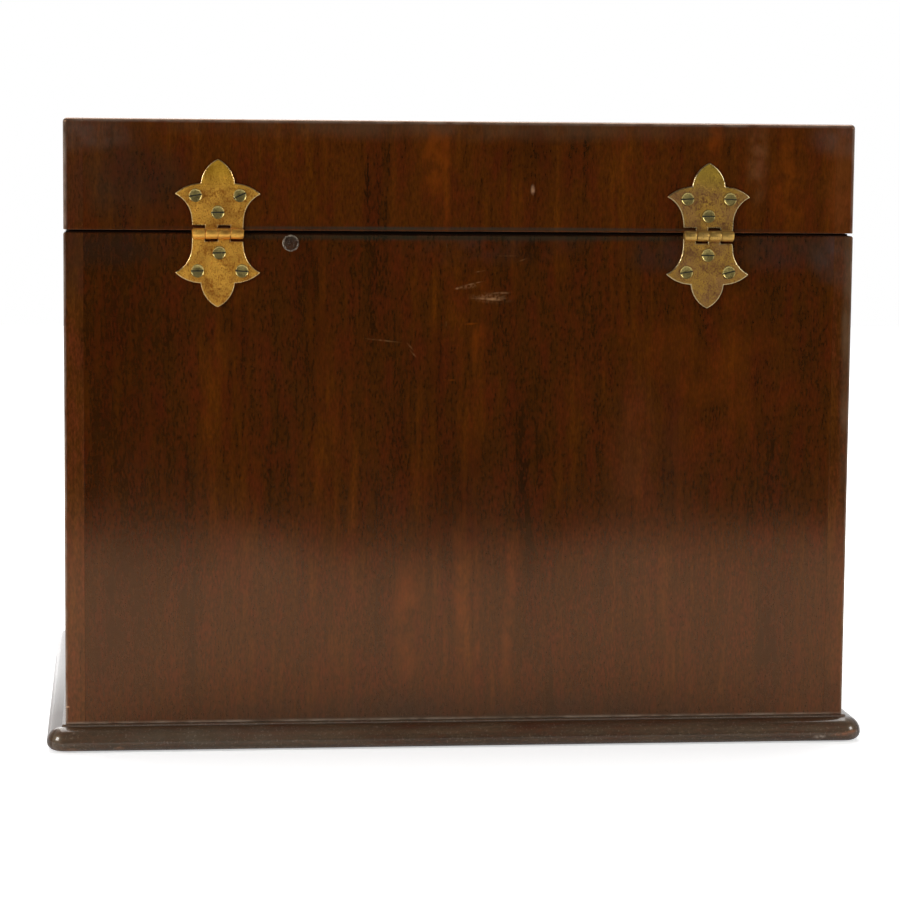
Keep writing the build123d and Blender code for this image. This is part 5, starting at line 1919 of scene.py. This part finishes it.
@dataclass
class Studio:
    """A pale floor, plain soft lamps, a white backdrop and the camera behind the chest.

    Places are in metres and the camera's turns in radians.
    """

    lens_mm: float = 118.42
    sensor_mm: float = 36.0
    camera_place: tuple[float, float, float] = (0.17664, 1.64943, 0.32199)
    yaw: float = -0.11285
    pitch: float = 0.11032
    roll: float = 0.00949
    floor_near: float = 0.927
    floor_far: float = -3.0
    floor_side: float = 3.0
    floor_colour: str = "#f2f2f2"
    air_colour: str = "#ffffff"
    lamps: tuple[Lamp, ...] = (
        Lamp("key_lamp", (1.45, 1.05, 0.75), (0.0, 0.1, 0.16), 0.6, 0.6, 19.0),
        Lamp("fill_lamp", (-1.5, 1.25, 0.8), (0.0, 0.1, 0.16), 0.6, 0.6, 15.0),
        Lamp("top_lamp", (0.0, -0.6, 1.9), (0.0, 0.0, 0.2), 1.6, 1.4, 31.0),
        Lamp("front_lamp", (0.4, -2.0, 1.4), (0.0, 0.0, 0.16), 1.6, 1.2, 20.0),
    )

    def build(self) -> None:
        """Sets up the camera, the floor, the lamps and the world."""
        bpy.context.scene.view_settings.view_transform = "Standard"
        self.camera()
        self.floor()
        self.world()
        for lamp in self.lamps:
            self.light(lamp)

    def camera(self) -> None:
        """Stands the camera behind the chest, a little above its middle."""
        forward = Vector((sin(self.yaw) * cos(self.pitch), -cos(self.yaw) * cos(self.pitch),
                          -sin(self.pitch)))
        level = Vector((-cos(self.yaw), -sin(self.yaw), 0))
        upright = level.cross(forward)
        right = cos(self.roll) * level + sin(self.roll) * upright
        up = -sin(self.roll) * level + cos(self.roll) * upright
        data = bpy.data.cameras.new("camera")
        data.lens, data.sensor_width = self.lens_mm, self.sensor_mm
        data.clip_start, data.clip_end = 0.01, 50.0
        camera = bpy.data.objects.new("camera", data)
        bpy.context.scene.collection.objects.link(camera)
        facing = Matrix((right, up, -forward)).transposed().to_4x4()
        camera.matrix_world = Matrix.Translation(self.camera_place) @ facing
        bpy.context.scene.camera = camera

    def light(self, lamp: Lamp) -> None:
        """Hangs one area lamp.

        Args:
            lamp: The lamp.
        """
        deselect()
        bpy.ops.object.light_add(type="AREA", location=lamp.place)
        light = bpy.context.object
        light.name = lamp.name
        light.data.shape = "RECTANGLE"
        light.data.size, light.data.size_y = lamp.width, lamp.height
        light.data.energy = lamp.power
        aim = Vector(lamp.target) - Vector(lamp.place)
        light.rotation_euler = aim.to_track_quat("-Z", "Y").to_euler()

    def floor(self) -> None:
        """Lays the pale floor, which ends on the camera's side of the chest."""
        deselect()
        middle = (self.floor_near + self.floor_far) / 2
        bpy.ops.mesh.primitive_plane_add(size=1.0, location=(0, middle, 0))
        floor = bpy.context.object
        floor.name = "floor"
        floor.scale = (2 * self.floor_side, self.floor_near - self.floor_far, 1)
        settle(floor)
        floor.data.materials.append(self.paper())

    def paper(self) -> bpy.types.Material:
        """Makes the floor's matt white paper: even and shadowed, and white toward its far end.

        Returns:
            The material.
        """
        material, tree, shader = new_material("matt_white_paper")
        connect(tree, shader, {"Base Color": linear(self.floor_colour), "Roughness": 0.9,
                               "Specular IOR Level": 0.0})
        place = add(tree, "TexCoord").outputs["Object"]
        reach = add(tree, "VectorMath", {0: place}, operation="LENGTH").outputs["Value"]
        level = add(tree, "MapRange", {0: reach, 1: 0.5, 2: 2.5, 3: 0.53, 4: 0.84}).outputs[0]
        glow = add(tree, "Emission", {"Color": linear(self.air_colour), "Strength": level}).outputs[0]
        seen = add(tree, "LightPath").outputs["Is Camera Ray"]
        lit = add(tree, "AddShader", {0: shader.outputs[0], 1: glow}).outputs[0]
        mixed = add(tree, "MixShader", {0: seen, 1: shader.outputs[0], 2: lit}).outputs[0]
        output = next(node for node in tree.nodes if node.type == "OUTPUT_MATERIAL")
        tree.links.new(mixed, output.inputs[0])
        return material

    def world(self) -> None:
        """White behind the chest and dim behind the camera, with a plain level for soft light."""
        world = bpy.data.worlds.new("studio_air")
        bpy.context.scene.world = world
        world.use_nodes = True
        tree = world.node_tree
        tree.nodes.clear()
        paths = add(tree, "LightPath").outputs
        direction = add(tree, "SeparateXYZ", {0: add(tree, "TexCoord").outputs["Generated"]}).outputs[1]
        soft, mirrored = [
            add(tree, "MapRange", {0: direction, 1: -0.9, 2: 0.2, 3: bright, 4: 0.03}).outputs[0]
            for bright in (0.75, 1.0)]
        seen = add(tree, "Math", {
            0: paths["Is Glossy Ray"], 1: paths["Is Transmission Ray"]}, operation="MAXIMUM").outputs[0]
        level = add(tree, "Mix", {0: seen, 2: soft, 3: mirrored}).outputs[0]
        level = add(tree, "Mix", {0: paths["Is Camera Ray"], 2: level, 3: 1.0}).outputs[0]
        air = add(tree, "Background", {"Color": linear(self.air_colour), "Strength": level}).outputs[0]
        output = add(tree, "OutputWorld")
        tree.links.new(air, output.inputs[0])


# ---------------------------------------------------------------- the whole scene
def main() -> None:
    """Builds every sub-assembly of the chest and the studio round it."""
    logging.basicConfig(level=logging.INFO, format="%(name)s: %(message)s")
    finishes = make_finishes()
    Studio().build()
    for part in (MouldedBase(finishes), Carcase(finishes), WellFittings(finishes), Lid(finishes),
                 Hinges(finishes), Stay(finishes), Bumper(finishes),
                 Drawer(finishes, name="upper"), Drawer(finishes, name="lower", partitions=False)):
        part.build()
        for piece, body in part.made:
            LOG.info("%s: %s rides on %s", type(part).__name__, piece.name, body)


if __name__ == "__main__":
    main()
